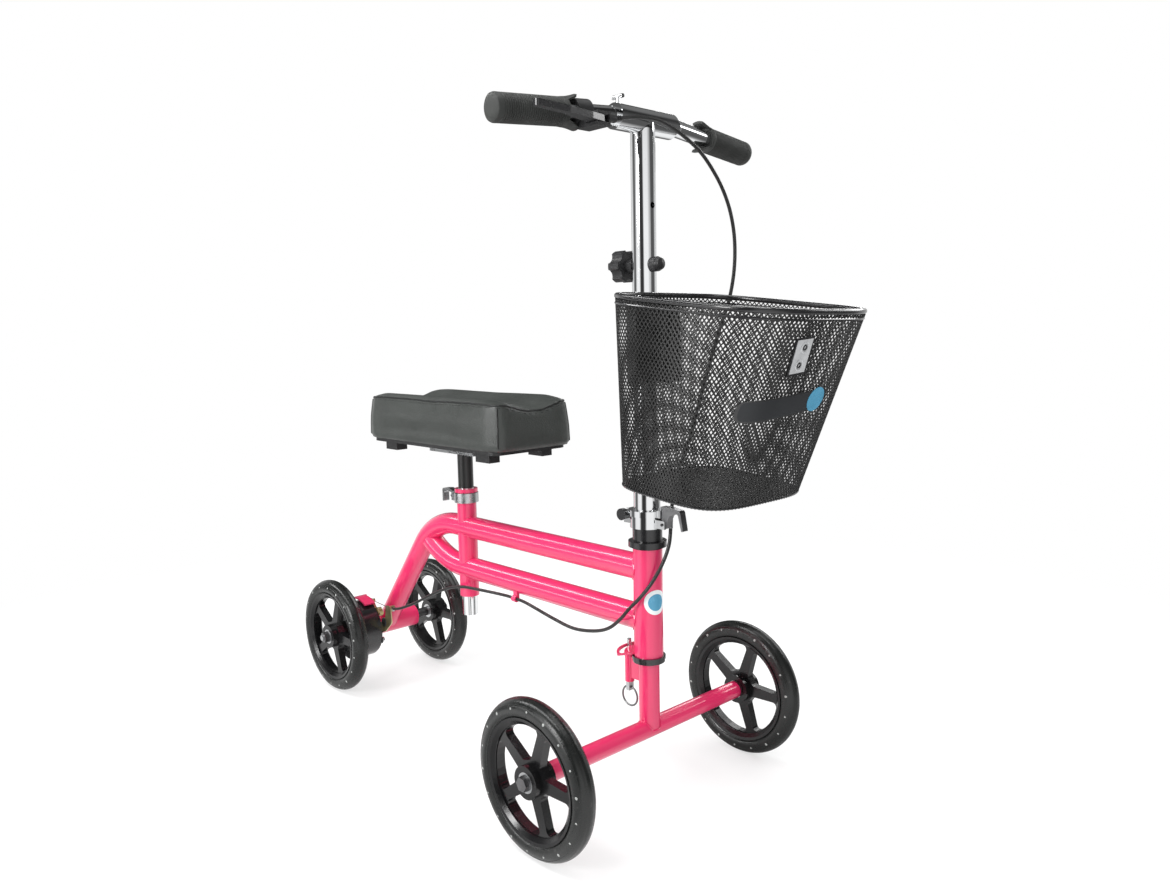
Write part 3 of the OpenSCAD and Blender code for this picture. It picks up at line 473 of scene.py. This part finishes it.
def build(name, parts, mats, body=None, replaces=(), sharp=35, bevel=0.0):
    """One mesh piece from parts = [(verts, faces)] or [(verts, faces, material index)]."""
    verts, faces, which = [], [], []
    for part in parts:
        base = len(verts)
        verts += [tuple(p) for p in part[0]]
        faces += [[i + base for i in f] for f in part[1]]
        which += [part[2] if len(part) > 2 else 0] * len(part[1])
    mesh = bpy.data.meshes.new(name)
    mesh.from_pydata(verts, [], faces)
    mats = mats if isinstance(mats, (list, tuple)) else [mats]
    for mat in mats:
        mesh.materials.append(mat)
    mesh.polygons.foreach_set("material_index", which)
    work = bmesh.new()
    work.from_mesh(mesh)
    bmesh.ops.recalc_face_normals(work, faces=work.faces)
    if bevel:
        edges = [e for e in work.edges if len(e.link_faces) == 2
                 and e.calc_face_angle(0) > math.radians(40)]
        bmesh.ops.bevel(work, geom=edges, offset=bevel, segments=2, affect="EDGES",
                        clamp_overlap=True)
    for face in work.faces:
        face.smooth = True
    work.to_mesh(mesh)
    work.free()
    mesh.set_sharp_from_angle(angle=math.radians(sharp))
    piece = bpy.data.objects.new(name, mesh)
    scene.collection.objects.link(piece)
    if body:
        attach(piece, body)
    if replaces:
        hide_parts(*replaces)
    return piece


def block(lo, hi):
    """(verts, faces) of a box between two corners."""
    verts = [Vector((x, y, z)) for x in (lo[0], hi[0]) for y in (lo[1], hi[1])
             for z in (lo[2], hi[2])]
    faces = [[0, 1, 3, 2], [4, 6, 7, 5], [0, 4, 5, 1], [2, 3, 7, 6], [0, 2, 6, 4],
             [1, 5, 7, 3]]
    return verts, faces


def bezier_like(points, steps):
    """Smooth curve through the points (Catmull-Rom)."""
    out = []
    for i in range(len(points) - 1):
        a, b = points[max(i - 1, 0)], points[i]
        c, d = points[i + 1], points[min(i + 2, len(points) - 1)]
        for k in range(steps):
            t = k / steps
            out.append((2 * b + (c - a) * t + (2 * a - 5 * b + 4 * c - d) * t * t
                        + (3 * b - a - 3 * c + d) * t ** 3) / 2)
    out.append(points[-1])
    return out


# ---------- Weld beads ----------

def saddle(host_centre, host_r, direction, r, grow=1.6, n=72):
    """Bead where a tube of radius r, along direction, meets an upright tube of host_r."""
    d = Vector(direction).normalized()
    side = Vector((0, 0, 1)).cross(d).normalized()
    top = d.cross(side)
    flat = Vector((d.x, d.y, 0)).length
    path = []
    for k in range(n):
        a = math.tau * k / n
        off = (r + grow * 0.35) * (math.cos(a) * side + math.sin(a) * top)
        across = off.dot(side)
        reach = math.sqrt(max(host_r ** 2 - across ** 2, 0.0))
        along = (reach - off.dot(Vector((d.x, d.y, 0)).normalized())) / flat
        path.append((host_centre + off + d * along) * MM)
    radii = [(grow + 0.22 * math.sin(k * math.tau / 4)) * MM for k in range(n)]
    return sweep(path, radii, 8, closed=True)


def welds():
    back = (-1, 0, 0)
    parts = [saddle(Vector((FRONT_X, 0, 326)), 20, back, 18),
             saddle(Vector((FRONT_X, 0, 256)), 20, back, 18)]
    build("frame_welds", parts, PINK, "frame")
    parts = []
    for side in (-1, 1):
        n, path = 72, []
        for k in range(n // 2 + 1):
            a = math.pi * k / (n // 2)
            y, x = 14.9 * math.cos(a), 14.9 * math.sin(a) * side
            path.append(mm(FRONT_X + x, y, AXLE_Z + math.sqrt(12.7 ** 2 - min(x * x, 161))))
        parts.append(sweep(path, 1.4 * MM, 8))
    build("crossbar_weld", parts, PINK, "steering")


# ---------- Tyres ----------

def tyres():
    centre_r, half = 87.5, 14.0
    profile = []
    for k in range(41):
        a = math.radians(-128 + 256 * k / 40)
        r, y = centre_r + half * math.cos(a), half * math.sin(a)
        if abs(abs(y) - 4.2) < 0.7:
            r -= 0.45
        profile.append((r * MM, y * MM))
    profile += [(78.9 * MM, 10.6 * MM), (78.9 * MM, -10.6 * MM)]
    highlight_dome_count = 18
    for end, x, y in (("front", FRONT_X, 206.5), ("rear", REAR_X, 107.5)):
        for side, sign in (("left", 1), ("right", -1)):
            name = f"{end}_{side}"
            centre = mm(x, sign * y, AXLE_Z)
            parts = [lathe(profile, centre, (0, 1, 0), 144) + (0,)]
            for face in (-1, 1):
                for r, dy, grow in ((81.6, 12.55, 0.5), (95.2, 11.75, 0.35)):
                    path = [centre + Vector((r * math.cos(t), face * dy, r * math.sin(t))) * MM
                            for t in (math.tau * k / 144 for k in range(144))]
                    parts.append(sweep(path, grow * MM, 6, closed=True) + (0,))
                for k in range(highlight_dome_count):
                    t = math.tau * (k + 0.4) / highlight_dome_count
                    r, dy = 90.3, 13.62
                    spot = centre + Vector((r * math.cos(t), face * dy, r * math.sin(t))) * MM
                    size = 1.5 if k % 3 else 2.0
                    dome = [(0.02 * MM, 0.35 * MM), (size * 0.6 * MM, 0.28 * MM),
                            (size * MM, 0.0), (size * MM, -0.6 * MM), (0.02 * MM, -0.6 * MM)]
                    lean = Vector((0.2 * math.cos(t), face, 0.2 * math.sin(t)))
                    # the domes are real bumps, coloured pale grey as a painted highlight
                    parts.append(lathe(dome, spot, lean, 10, loop=False) + (1,))
            build(f"tyre_detail_{name}", parts, [TYRE, DOT_HIGHLIGHT_GREY], f"wheel_{name}",
                  [f"tyre_{name}"], sharp=50)


# ---------- Basket ----------

LEAN = math.radians(6.5)
BASKET_H = 226.0
BASKET_BACK = FRONT_X + 26
BASKET_TOP = 686.0
TAPER = BASKET_H * math.sin(LEAN)
POWER = 2 / 3.9


def from_basket(p):
    x, y, z = p
    return mm(BASKET_BACK + x * math.cos(LEAN) + z * math.sin(LEAN), y,
              BASKET_TOP - x * math.sin(LEAN) + z * math.cos(LEAN))


def basket_edge(a, t, more=0.0):
    """Point of the basket's outline at angle a, from the mouth (t 0) to the foot (t 1)."""
    deep, wide = (254 + (168 - 254) * t) / 2, (245 + (208 - 245) * t) / 2
    c, s = math.cos(a), math.sin(a)
    x = TAPER * t + deep + (deep + more) * math.copysign(abs(c) ** POWER, c)
    y = (wide + more) * math.copysign(abs(s) ** POWER, s)
    return Vector((x, y, -BASKET_H * t))


def even_angles(n):
    """Angles of n points spaced evenly round the mouth."""
    fine = 4096
    spots = [basket_edge(math.tau * k / fine, 0) for k in range(fine + 1)]
    length = [0.0]
    for a, b in zip(spots, spots[1:]):
        length.append(length[-1] + (b - a).length)
    out, k = [], 0
    for i in range(n):
        want = length[-1] * i / n
        while length[k + 1] < want:
            k += 1
        part = (want - length[k]) / (length[k + 1] - length[k])
        out.append(math.tau * (k + part) / fine)
    return out


def strand(p, q, normal, wide, thick):
    """(verts, faces) of one flat strand of expanded metal from p to q."""
    w = (q - p).cross(normal).normalized() * wide / 2
    h = normal.normalized() * thick / 2
    verts = [from_basket(c) for c in (p + w + h, p - w + h, p - w - h, p + w - h,
                                      q + w + h, q - w + h, q - w - h, q + w - h)]
    return verts, [[0, 1, 5, 4], [1, 2, 6, 5], [2, 3, 7, 6], [3, 0, 4, 7]]


def basket():
    around, rows = 132, 56
    wall_wide, floor_wide, inset = 1.5, 2.6, 1.2
    angles = even_angles(around * 2)
    parts = []

    def node(i, j):
        return basket_edge(angles[(2 * i + j % 2) % (around * 2)], j / rows, -inset)

    for j in range(rows):
        for i in range(around):
            p = node(i, j)
            for step in (0, 1) if j % 2 else (0, -1):
                q = node(i + step, j + 1)
                out = basket_edge(angles[(2 * i + j % 2) % (around * 2)], j / rows, 9) - p
                out.z = 0
                parts.append(strand(p, q, out, wall_wide, 0.9))
    # floor, clipped to the foot's outline
    pitch_x, pitch_y, z = 5.2, 3.1, -BASKET_H + 1.4

    def inside(x, y):
        u = abs(x - TAPER - 84) / 82.5
        v = abs(y) / 102.5
        return u ** (2 / POWER) + v ** (2 / POWER) < 1

    for i in range(-2, 42):
        for j in range(-36, 36):
            x = TAPER + (i + (j % 2) / 2) * pitch_x
            y = j * pitch_y
            for dx in (-pitch_x / 2, pitch_x / 2):
                a, b = Vector((x, y, z)), Vector((x + dx, y + pitch_y, z))
                if inside(a.x, a.y) and inside(b.x, b.y):
                    parts.append(strand(a, b, Vector((0, 0, 1)), floor_wide, 1.0))
    build("basket_wire_mesh", parts, WIRE, "basket", ["basket_mesh"], sharp=30)
    ring = even_angles(160)
    rim = [from_basket(basket_edge(a, 0, -2.5) + Vector((0, 0, 3.5))) for a in ring]
    parts = [sweep(rim, 3.4 * MM, 12, closed=True)]
    band = [from_basket(basket_edge(a, 0.022, -1.2)) for a in ring]
    parts.append(sweep(band, 1.5 * MM, 8, closed=True))
    foot = [from_basket(basket_edge(a, 1, -1.2) + Vector((0, 0, 1.6))) for a in ring]
    parts.append(sweep(foot, 1.6 * MM, 8, closed=True))
    build("basket_rim_wire", parts, GLOSS, "basket", ["basket_rim"])


def wall_point(y, z, more):
    """Point of the basket's front wall at local y and z, more outwards."""
    t = -z / BASKET_H
    deep, wide = (254 + (168 - 254) * t) / 2, (245 + (208 - 245) * t) / 2
    s = min(abs(y) / wide, 1.0) ** (1 / POWER)
    x = TAPER * t + deep + (deep + more) * math.sqrt(1 - s * s) ** POWER
    return Vector((x, y, z))


def wall_patch(inside, centre, half, turn, low, high, cols=40, rows=14):
    """Conformal plate on the front wall. inside(u, v) in -1..1 pulls the grid to a shape."""
    verts, faces = [], []
    c, s = math.cos(turn), math.sin(turn)
    for more in (high, low):
        for i in range(cols + 1):
            for j in range(rows + 1):
                u, v = inside(2 * i / cols - 1, 2 * j / rows - 1)
                y, z = u * half[0], v * half[1]
                verts.append(from_basket(wall_point(centre[0] + y * c - z * s,
                                                    centre[1] + y * s + z * c, more)))
    n = (cols + 1) * (rows + 1)
    for i in range(cols):
        for j in range(rows):
            a = i * (rows + 1) + j
            quad = [a, a + 1, a + rows + 2, a + rows + 1]
            faces.append(quad)
            faces.append([q + n for q in reversed(quad)])
    edge = [i * (rows + 1) for i in range(cols + 1)]
    edge += [cols * (rows + 1) + j for j in range(1, rows + 1)]
    edge += [i * (rows + 1) + rows for i in range(cols - 1, -1, -1)]
    edge += [j for j in range(rows - 1, 0, -1)]
    for a, b in zip(edge, edge[1:] + edge[:1]):
        faces.append([a, b, b + n, a + n])
    return verts, faces


def square(u, v):
    return u, v


def disc(u, v):
    return u * math.sqrt(1 - v * v / 2), v * math.sqrt(1 - u * u / 2)


def basket_fittings():
    tilt = math.radians(5)

    def oblong(u, v):
        return u * (1 - 0.05 * v ** 4), v * (1 - 0.10 * abs(u) ** 12)

    plate = wall_patch(oblong, (-28, -102), (68, 13), tilt, -0.6, 1.1)
    border = wall_patch(oblong, (-28, -102), (66, 11.4), tilt, 1.0, 1.3)
    build("badge_plate", [plate + (0,), border + (1,)], [GLOSS, BADGE], "basket",
          ["basket_plates"])
    spot = wall_patch(disc, (24, -97.5), (15.5, 14.5), tilt, 1.1, 1.65, 18, 18)
    build("badge_spot", [spot], BLUE, "basket")
    clasp = wall_patch(square, (-34, -45), (13, 19), tilt, -0.6, 1.3, 10, 10)
    frame_part = wall_patch(square, (-34, -45), (16, 22), tilt, -0.8, 0.7, 10, 10)
    parts = [clasp + (0,), frame_part + (1,)]
    for z in (-35, -55):
        for r, grow, mat in ((5.6, 1.1, 0), (2.6, 0.9, 1)):
            path = []
            for k in range(28):
                a = math.tau * k / 28
                path.append(from_basket(wall_point(-34 + r * math.cos(a), z + r * math.sin(a),
                                                   1.6)))
            parts.append(sweep(path, grow * MM, 8, closed=True) + (mat,))
    build("clasp_plate", parts, [SILVER, GLOSS], "basket")
    parts = [block(mm(FRONT_X + 24.3, -30, 595), mm(FRONT_X + 26, 30, 679)),
             block(mm(FRONT_X + 17, -30, 675.3), mm(FRONT_X + 25.4, 30, 679))]
    build("hook_plate", parts, PLASTIC, "basket", bevel=0.6 * MM)


# ---------- Grips ----------

def grips():
    run_start = 60.0
    for side, sign in (("left", 1), ("right", -1)):
        start = Vector((FRONT_X, sign * run_start, 908))
        end = Vector((FRONT_X - 17, sign * 231, 896))
        d = (end - start).normalized()
        run = (end - start).length
        base = (start + d * (run - 102)) * MM
        profile = [(11.3, 0.0), (17.2, 0.0), (17.6, 1.5), (17.2, 6.0)]
        h = 7.0
        while h < 90:
            profile += [(16.1, h), (16.1, h + 0.9), (16.9, h + 1.3), (16.9, h + 2.5)]
            h += 3.0
        profile += [(16.3, 91), (16.9, 93), (16.9, 97), (16.0, 99.5), (13.0, 101.4),
                    (6.0, 101.9), (0.05, 101.9), (0.05, 97.0), (11.3, 97.0)]
        profile = [(r * MM, z * MM) for r, z in profile]
        parts = [lathe(profile, base, d, 56)]
        up = (Vector((0, 0, 1)) - d * d.z).normalized()
        other = d.cross(up)
        for way in (-1, 1):
            verts, faces = [], []
            cols, rows = 12, 8
            for skin in (0.0, 3.2):
                for i in range(cols + 1):
                    for j in range(rows + 1):
                        v = j / rows
                        a = math.radians(50 - 26 * v) * (2 * i / cols - 1)
                        r = 14.2 + skin + 3.6 * v ** 1.5
                        out = way * math.cos(a) * up + math.sin(a) * other
                        verts.append(base + (out * r - d * (19 * v - 3)) * MM)
            n = (cols + 1) * (rows + 1)
            for i in range(cols):
                for j in range(rows):
                    q = i * (rows + 1) + j
                    quad = [q, q + 1, q + rows + 2, q + rows + 1]
                    faces += [quad, [k + n for k in reversed(quad)]]
            edge = [i * (rows + 1) for i in range(cols + 1)]
            edge += [cols * (rows + 1) + j for j in range(1, rows + 1)]
            edge += [i * (rows + 1) + rows for i in range(cols - 1, -1, -1)]
            edge += [j for j in range(rows - 1, 0, -1)]
            faces += [[a, b, b + n, a + n] for a, b in zip(edge, edge[1:] + edge[:1])]
            parts.append((verts, faces))
        build(f"grip_{side}", parts, GRIP, "handlebar",
              ["handlebar_grips"] if sign == 1 else ())


# ---------- Brake cable ----------

CABLE_ROUTE = [
    (34, -84, 894), (33, -62, 899), (32, -35, 903), (31, -5, 904), (30, 22, 899),
    (30, 50, 889), (30, 78, 875), (30, 102, 856), (30, 124, 832), (30, 141, 802),
    (30, 150, 766), (30, 149, 725), (29, 139, 684), (28, 120, 645), (26, 103, 604),
    (25, 85, 562), (24, 65, 510), (21, 43, 463), (21, 27, 415), (27, 17, 387), (31, 8, 361),
    (28, -3, 336), (22, -16, 314), (10, -25, 294), (-8, -29, 275), (-26, -29, 256),
    (-50, -28, 238), (-81, -27, 227), (-123, -26, 221), (-166, -25, 225), (-240, -18, 233),
    (-270, -15, 233), (-300, -15, 233), (-370, -21, 231), (-400, -24, 229),
    (-430, -25, 222), (-462, -27, 210), (-496, -29, 194), (-530, -31, 177),
    (-560, -32, 164), (-586, -33, 154.5), (-612, -33, 149)]


def cable():
    points = [mm(FRONT_X + s, y, z) for s, y, z in CABLE_ROUTE]
    steps = 6
    curve = bezier_like(points, steps)
    cuts = [0, 16, 20, 29, len(points) - 1]
    names = ["cable_upper", "cable_hinge", "cable_steering", "cable_frame"]
    pieces = []
    for name, a, b in zip(names, cuts, cuts[1:]):
        part = curve[a * steps:b * steps + 1]
        piece = build(name, [sweep(part, 2.5 * MM, 14)], CABLE)
        pieces.append(piece)
    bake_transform(pieces[0])
    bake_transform(pieces[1])
    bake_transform(pieces[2])
    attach(pieces[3], "frame")
    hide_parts("brake_cable")
    tip = mm(REAR_X + 9, -33, AXLE_Z + 50)
    stop = points[-1]
    aim = (tip - stop).normalized()
    parts = [lathe([(2.55 * MM, -9 * MM), (3.2 * MM, -8.4 * MM), (3.2 * MM, 1.5 * MM),
                    (1.2 * MM, 2.2 * MM)], stop, aim, 20, loop=False)]
    build("cable_ferrule", parts, STEEL, "frame")
    run = [stop.lerp(tip, 0.935 * k / 12) for k in range(13)]
    wire = build("brake_wire", [sweep(run, 0.8 * MM, 8)], STEEL)
    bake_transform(wire)
    head = points[0]
    parts = [lathe([(2.6 * MM, -2 * MM), (3.7 * MM, -1.4 * MM), (3.7 * MM, 9 * MM),
                    (2.6 * MM, 10 * MM)], head, points[1] - head, 20, loop=False)]
    build("cable_head_ferrule", parts, GLOSS, "handlebar")


# ---------- Lock pin spring ----------

def lock_spring():
    coil, turns, n = [], 5, 120
    for k in range(n + 1):
        a = math.tau * turns * k / n
        coil.append(mm(FRONT_X - 37 + 4.1 * math.cos(a), 4.1 * math.sin(a),
                       165.8 + 20.4 * k / n))
    piece = build("lock_spring_coil", [sweep(coil, 0.55 * MM, 8)], STEEL, "steering",
                  ["lock_pin_spring"])
    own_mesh(piece)


# ---------- Rear brake hardware ----------

def hex_head(centre, axis, across, high):
    """Hexagon bolt head with a chamfered top."""
    axis = Vector(axis).normalized()
    u = axis.orthogonal().normalized()
    v = axis.cross(u)
    verts, faces = [], []
    for r, h in ((across / 2, 0.0), (across / 2, high * 0.8), (across / 2 - 0.9, high)):
        for k in range(6):
            a = math.tau * k / 6
            verts.append((Vector(centre) + r * (math.cos(a) * u + math.sin(a) * v)
                          + axis * h) * MM)
    for i in range(2):
        for k in range(6):
            m = (k + 1) % 6
            faces.append([i * 6 + k, i * 6 + m, (i + 1) * 6 + m, (i + 1) * 6 + k])
    faces += [[12, 13, 14, 15, 16, 17], [5, 4, 3, 2, 1, 0]]
    return verts, faces


def washer(centre, axis, r, thick):
    hole, chamfer, edge = 0.05, 0.4, 0.3
    profile = [(hole, 0), (r - chamfer, 0), (r, edge), (r, thick - edge),
               (r - chamfer, thick), (hole, thick)]
    return lathe([(a * MM, h * MM) for a, h in profile], Vector(centre) * MM, axis, 28,
                 loop=False)


def brake_hardware():
    """The return spring's coil, and the two bolts with their washers."""
    zinc, steel = [], []
    face = -41.0
    for dx, dz, across in ((57, 20, 11), (44, -16, 9)):
        centre = (REAR_X + dx, face + 1, AXLE_Z + dz)
        steel.append(washer(centre, (0, 1, 0), across * 0.8, 1.2))
        steel.append(hex_head((centre[0], centre[1] + 1.2, centre[2]), (0, 1, 0), across, 5))
    turns, n = 5, 110
    coil = []
    for k in range(n + 1):
        a = math.tau * turns * k / n
        coil.append(mm(REAR_X + 32 + 7.5 * math.cos(a), face + 2 + 9 * k / n,
                       AXLE_Z + 34 + 7.5 * math.sin(a)))
    zinc.append(sweep(coil, 0.9 * MM, 8))
    build("brake_spring", zinc, ZINC, "frame")
    build("brake_bolts", steel, STEEL, "frame")


# ---------- Head badge ----------

def head_badge():
    height, facing = 284.0, math.radians(-15)
    parts = []
    for r, low, high, mat in ((17.0, 19.9, 20.35, 0), (11.5, 20.3, 20.55, 1)):
        verts, faces = [], []
        rings, sides = 8, 40
        for skin in (high, low):
            for i in range(rings + 1):
                for k in range(sides):
                    a = math.tau * k / sides
                    q = max(r * i / rings, 0.01)
                    turn = facing + q * math.cos(a) / 20
                    verts.append(mm(FRONT_X + skin * math.cos(turn), skin * math.sin(turn),
                                    height + q * math.sin(a)))
        n = (rings + 1) * sides
        for i in range(rings):
            for k in range(sides):
                m = (k + 1) % sides
                quad = [i * sides + k, (i + 1) * sides + k, (i + 1) * sides + m, i * sides + m]
                faces += [quad, [q + n for q in reversed(quad)]]
        rim = rings * sides
        faces += [[rim + k, rim + (k + 1) % sides, rim + (k + 1) % sides + n, rim + k + n]
                  for k in range(sides)]
        parts.append((verts, faces, mat))
    build("head_badge", parts, [WHITE, BLUE], "frame")


# ---------- Knee pad ----------

PAD_X = SEAT_X + 3
PAD_BASE = 472.0
PAD_TOP = 548.0
PAD_X_HALF = 186.0
PAD_Y_HALF = 80.0


def evaluated(obj):
    graph = bpy.context.evaluated_depsgraph_get()
    return bpy.data.meshes.new_from_object(obj.evaluated_get(graph))


def trough(y):
    """Height of the pad's top at y, in mm: a broad shallow dish with a lip each side."""
    t = min(max((abs(y) - 6) / 60, 0), 1)
    return PAD_TOP - 12 * (1 - t * t * (3 - 2 * t))


def pad_block():
    """The unsewn pad as a lofted block with round upright corners and a slight draft."""
    levels = [(0.0, 4.0), (0.03, 1.0), (0.1, 0.2), (0.3, 0.0), (0.55, 0.8), (0.8, 2.0),
              (0.95, 3.0), (1.0, 4.6)]
    sides = 96
    verts, faces = [], []

    def outline(inset, k):
        a = math.tau * k / sides
        c, s = math.cos(a), math.sin(a)
        half_x, half_y, r = PAD_X_HALF - 2 - inset, PAD_Y_HALF - 2 - inset, 24.0
        reach = min(half_x / max(abs(c), 1e-6), half_y / max(abs(s), 1e-6))
        x, y = reach * c, reach * s
        over_x, over_y = abs(x) - (half_x - r), abs(y) - (half_y - r)
        if over_x > 0 and over_y > 0:
            long = math.hypot(over_x, over_y)
            x = math.copysign(half_x - r + over_x * r / long, x)
            y = math.copysign(half_y - r + over_y * r / long, y)
        return x, y

    for share, inset in levels:
        for k in range(sides):
            x, y = outline(inset, k)
            z = PAD_BASE + 1.5 + share * (trough(y) - 2.5 - PAD_BASE - 1.5)
            verts.append(mm(PAD_X + x, y, z))
    for i in range(len(levels) - 1):
        for k in range(sides):
            m = (k + 1) % sides
            faces.append([i * sides + k, i * sides + m, (i + 1) * sides + m,
                          (i + 1) * sides + k])
    inner = 12
    start = len(verts) - sides
    for j in range(1, inner + 1):
        for k in range(sides):
            x, y = outline(levels[-1][1], k)
            x, y = x * (1 - j / (inner + 0.5)), y * (1 - j / (inner + 0.5))
            verts.append(mm(PAD_X + x, y, trough(y) - 2.5 + 1.5 * min(1, j / 2)))
        for k in range(sides):
            m = (k + 1) % sides
            a, b = start + (j - 1) * sides, start + j * sides
            faces.append([a + k, a + m, b + m, b + k])
    faces.append([start + inner * sides + k for k in range(sides)])
    faces.append([k for k in reversed(range(sides))])
    return verts, faces


PUFF_FRAMES = 20
PUFF_SMOOTHING = 30
PUFF_CAP = 3.5 * MM
PUFF_FADE = 20


def knee_pad():
    pad = build("pad_cover", [pad_block()], VINYL)
    remesh = pad.modifiers.new("even", "REMESH")
    remesh.mode = "VOXEL"
    remesh.voxel_size = 4.6 * MM
    pad.data = evaluated(pad)
    pad.modifiers.clear()
    rest = [v.co.copy() for v in pad.data.vertices]
    puff = pad.modifiers.new("puff", "CLOTH")
    puff.settings.quality = 6
    puff.settings.mass = 0.3
    puff.settings.tension_stiffness = 40
    puff.settings.compression_stiffness = 40
    puff.settings.bending_stiffness = 4
    puff.settings.use_pressure = True
    puff.settings.uniform_pressure_force = 4
    puff.settings.effector_weights.gravity = 0
    puff.point_cache.frame_start = 1
    puff.point_cache.frame_end = PUFF_FRAMES
    for step in range(1, PUFF_FRAMES + 1):
        scene.frame_set(step)
    swollen = evaluated(pad)
    pad.modifiers.clear()
    scene.frame_set(1)
    moves = [new.co - old for new, old in zip(swollen.vertices, rest)]
    near = [[] for _ in moves]
    for edge in pad.data.edges:
        a, b = edge.vertices
        near[a].append(b)
        near[b].append(a)
    for _ in range(PUFF_SMOOTHING):
        moves = [sum((moves[j] for j in near[i]), m * 2) / (len(near[i]) + 2)
                 for i, m in enumerate(moves)]
    for v, move, old in zip(pad.data.vertices, moves, rest):
        if move.length > PUFF_CAP:
            move = move.normalized() * PUFF_CAP
        v.co = old + move * min(1, max(0, (old.z / MM - PAD_BASE) / PUFF_FADE))
    smooth = pad.modifiers.new("soft", "SUBSURF")
    smooth.levels = smooth.render_levels = 1
    pad.data = evaluated(pad)
    pad.modifiers.clear()
    lo = mm(PAD_X - PAD_X_HALF, -PAD_Y_HALF, PAD_BASE)
    hi = mm(PAD_X + PAD_X_HALF, PAD_Y_HALF, PAD_TOP)
    size = [(min(v.co[i] for v in pad.data.vertices), max(v.co[i] for v in pad.data.vertices))
            for i in range(3)]
    for v in pad.data.vertices:
        for i in range(3):
            share = (v.co[i] - size[i][0]) / (size[i][1] - size[i][0])
            v.co[i] = lo[i] + share * (hi[i] - lo[i])
    for v in pad.data.vertices:
        if v.co.z < (PAD_BASE + 2.0) * MM:
            v.co.z = PAD_BASE * MM
    pad.data.materials.clear()
    pad.data.materials.append(VINYL)
    pad.data.polygons.foreach_set("use_smooth", [True] * len(pad.data.polygons))
    pad.data.update()
    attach(pad, "knee_rest")
    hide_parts("knee_pad")
    pad_piping_painted_shadow(pad)


def on_pad(tree, point, lift):
    """The pad's surface nearest to point, moved out by lift mm."""
    place, normal = tree.find_nearest(point)[:2]
    return place + normal * lift * MM


def pad_piping_painted_shadow(pad):
    """Sewn piping round the top edge, a stitched seam under it and one down each corner. All
    are near-black, darker than the vinyl. The piping and stitching are partly real and partly
    a painted shadow line under the top edge, and the corner runs are painted shade down the
    corners.
    """
    tree = BVHTree.FromObject(pad, bpy.context.evaluated_depsgraph_get())
    sides = 240
    welt, stitch = [], []
    for k in range(sides):
        a = math.tau * k / sides
        c, s = math.cos(a), math.sin(a)
        half_x, half_y, r = PAD_X_HALF - 3.0, PAD_Y_HALF - 3.0, 22.0
        reach = min(half_x / max(abs(c), 1e-6), half_y / max(abs(s), 1e-6))
        x, y = reach * c, reach * s
        over_x, over_y = abs(x) - (half_x - r), abs(y) - (half_y - r)
        if over_x > 0 and over_y > 0:
            long = math.hypot(over_x, over_y)
            x = math.copysign(half_x - r + over_x * r / long, x)
            y = math.copysign(half_y - r + over_y * r / long, y)
        welt.append(on_pad(tree, mm(PAD_X + x, y, trough(y) - 3.0), 0.1))
        out = Vector((x / half_x, y / half_y, 0)) * 8
        stitch.append(on_pad(tree, mm(PAD_X + x + out.x, y + out.y, trough(y) - 7.5), 0.0))
    parts = [sweep(welt, 1.5 * MM, 8, closed=True)]
    for i in range(0, sides, 2):
        a, b = stitch[i], stitch[(i + 1) % sides]
        parts.append(sweep([a.lerp(b, 0.05), a.lerp(b, 0.85)], 0.45 * MM, 5))
    # the runs down the four corners are painted shade where the rounded corners fall dark
    for end in (-1, 1):
        for side in (-1, 1):
            run = []
            for k in range(25):
                spot = mm(PAD_X + end * (PAD_X_HALF - 4), side * (PAD_Y_HALF - 4),
                          PAD_BASE + 4 + k * (PAD_TOP - PAD_BASE - 11) / 24)
                run.append(on_pad(tree, spot, 0.05))
            parts.append(sweep(run, 1.1 * MM, 8))
    build("pad_piping_painted_shadow", parts, PIPING_SHADOW_BLACK, "knee_rest")


knee_pad()
welds()
tyres()
basket()
basket_fittings()
grips()
cable()
lock_spring()
brake_hardware()
head_badge()
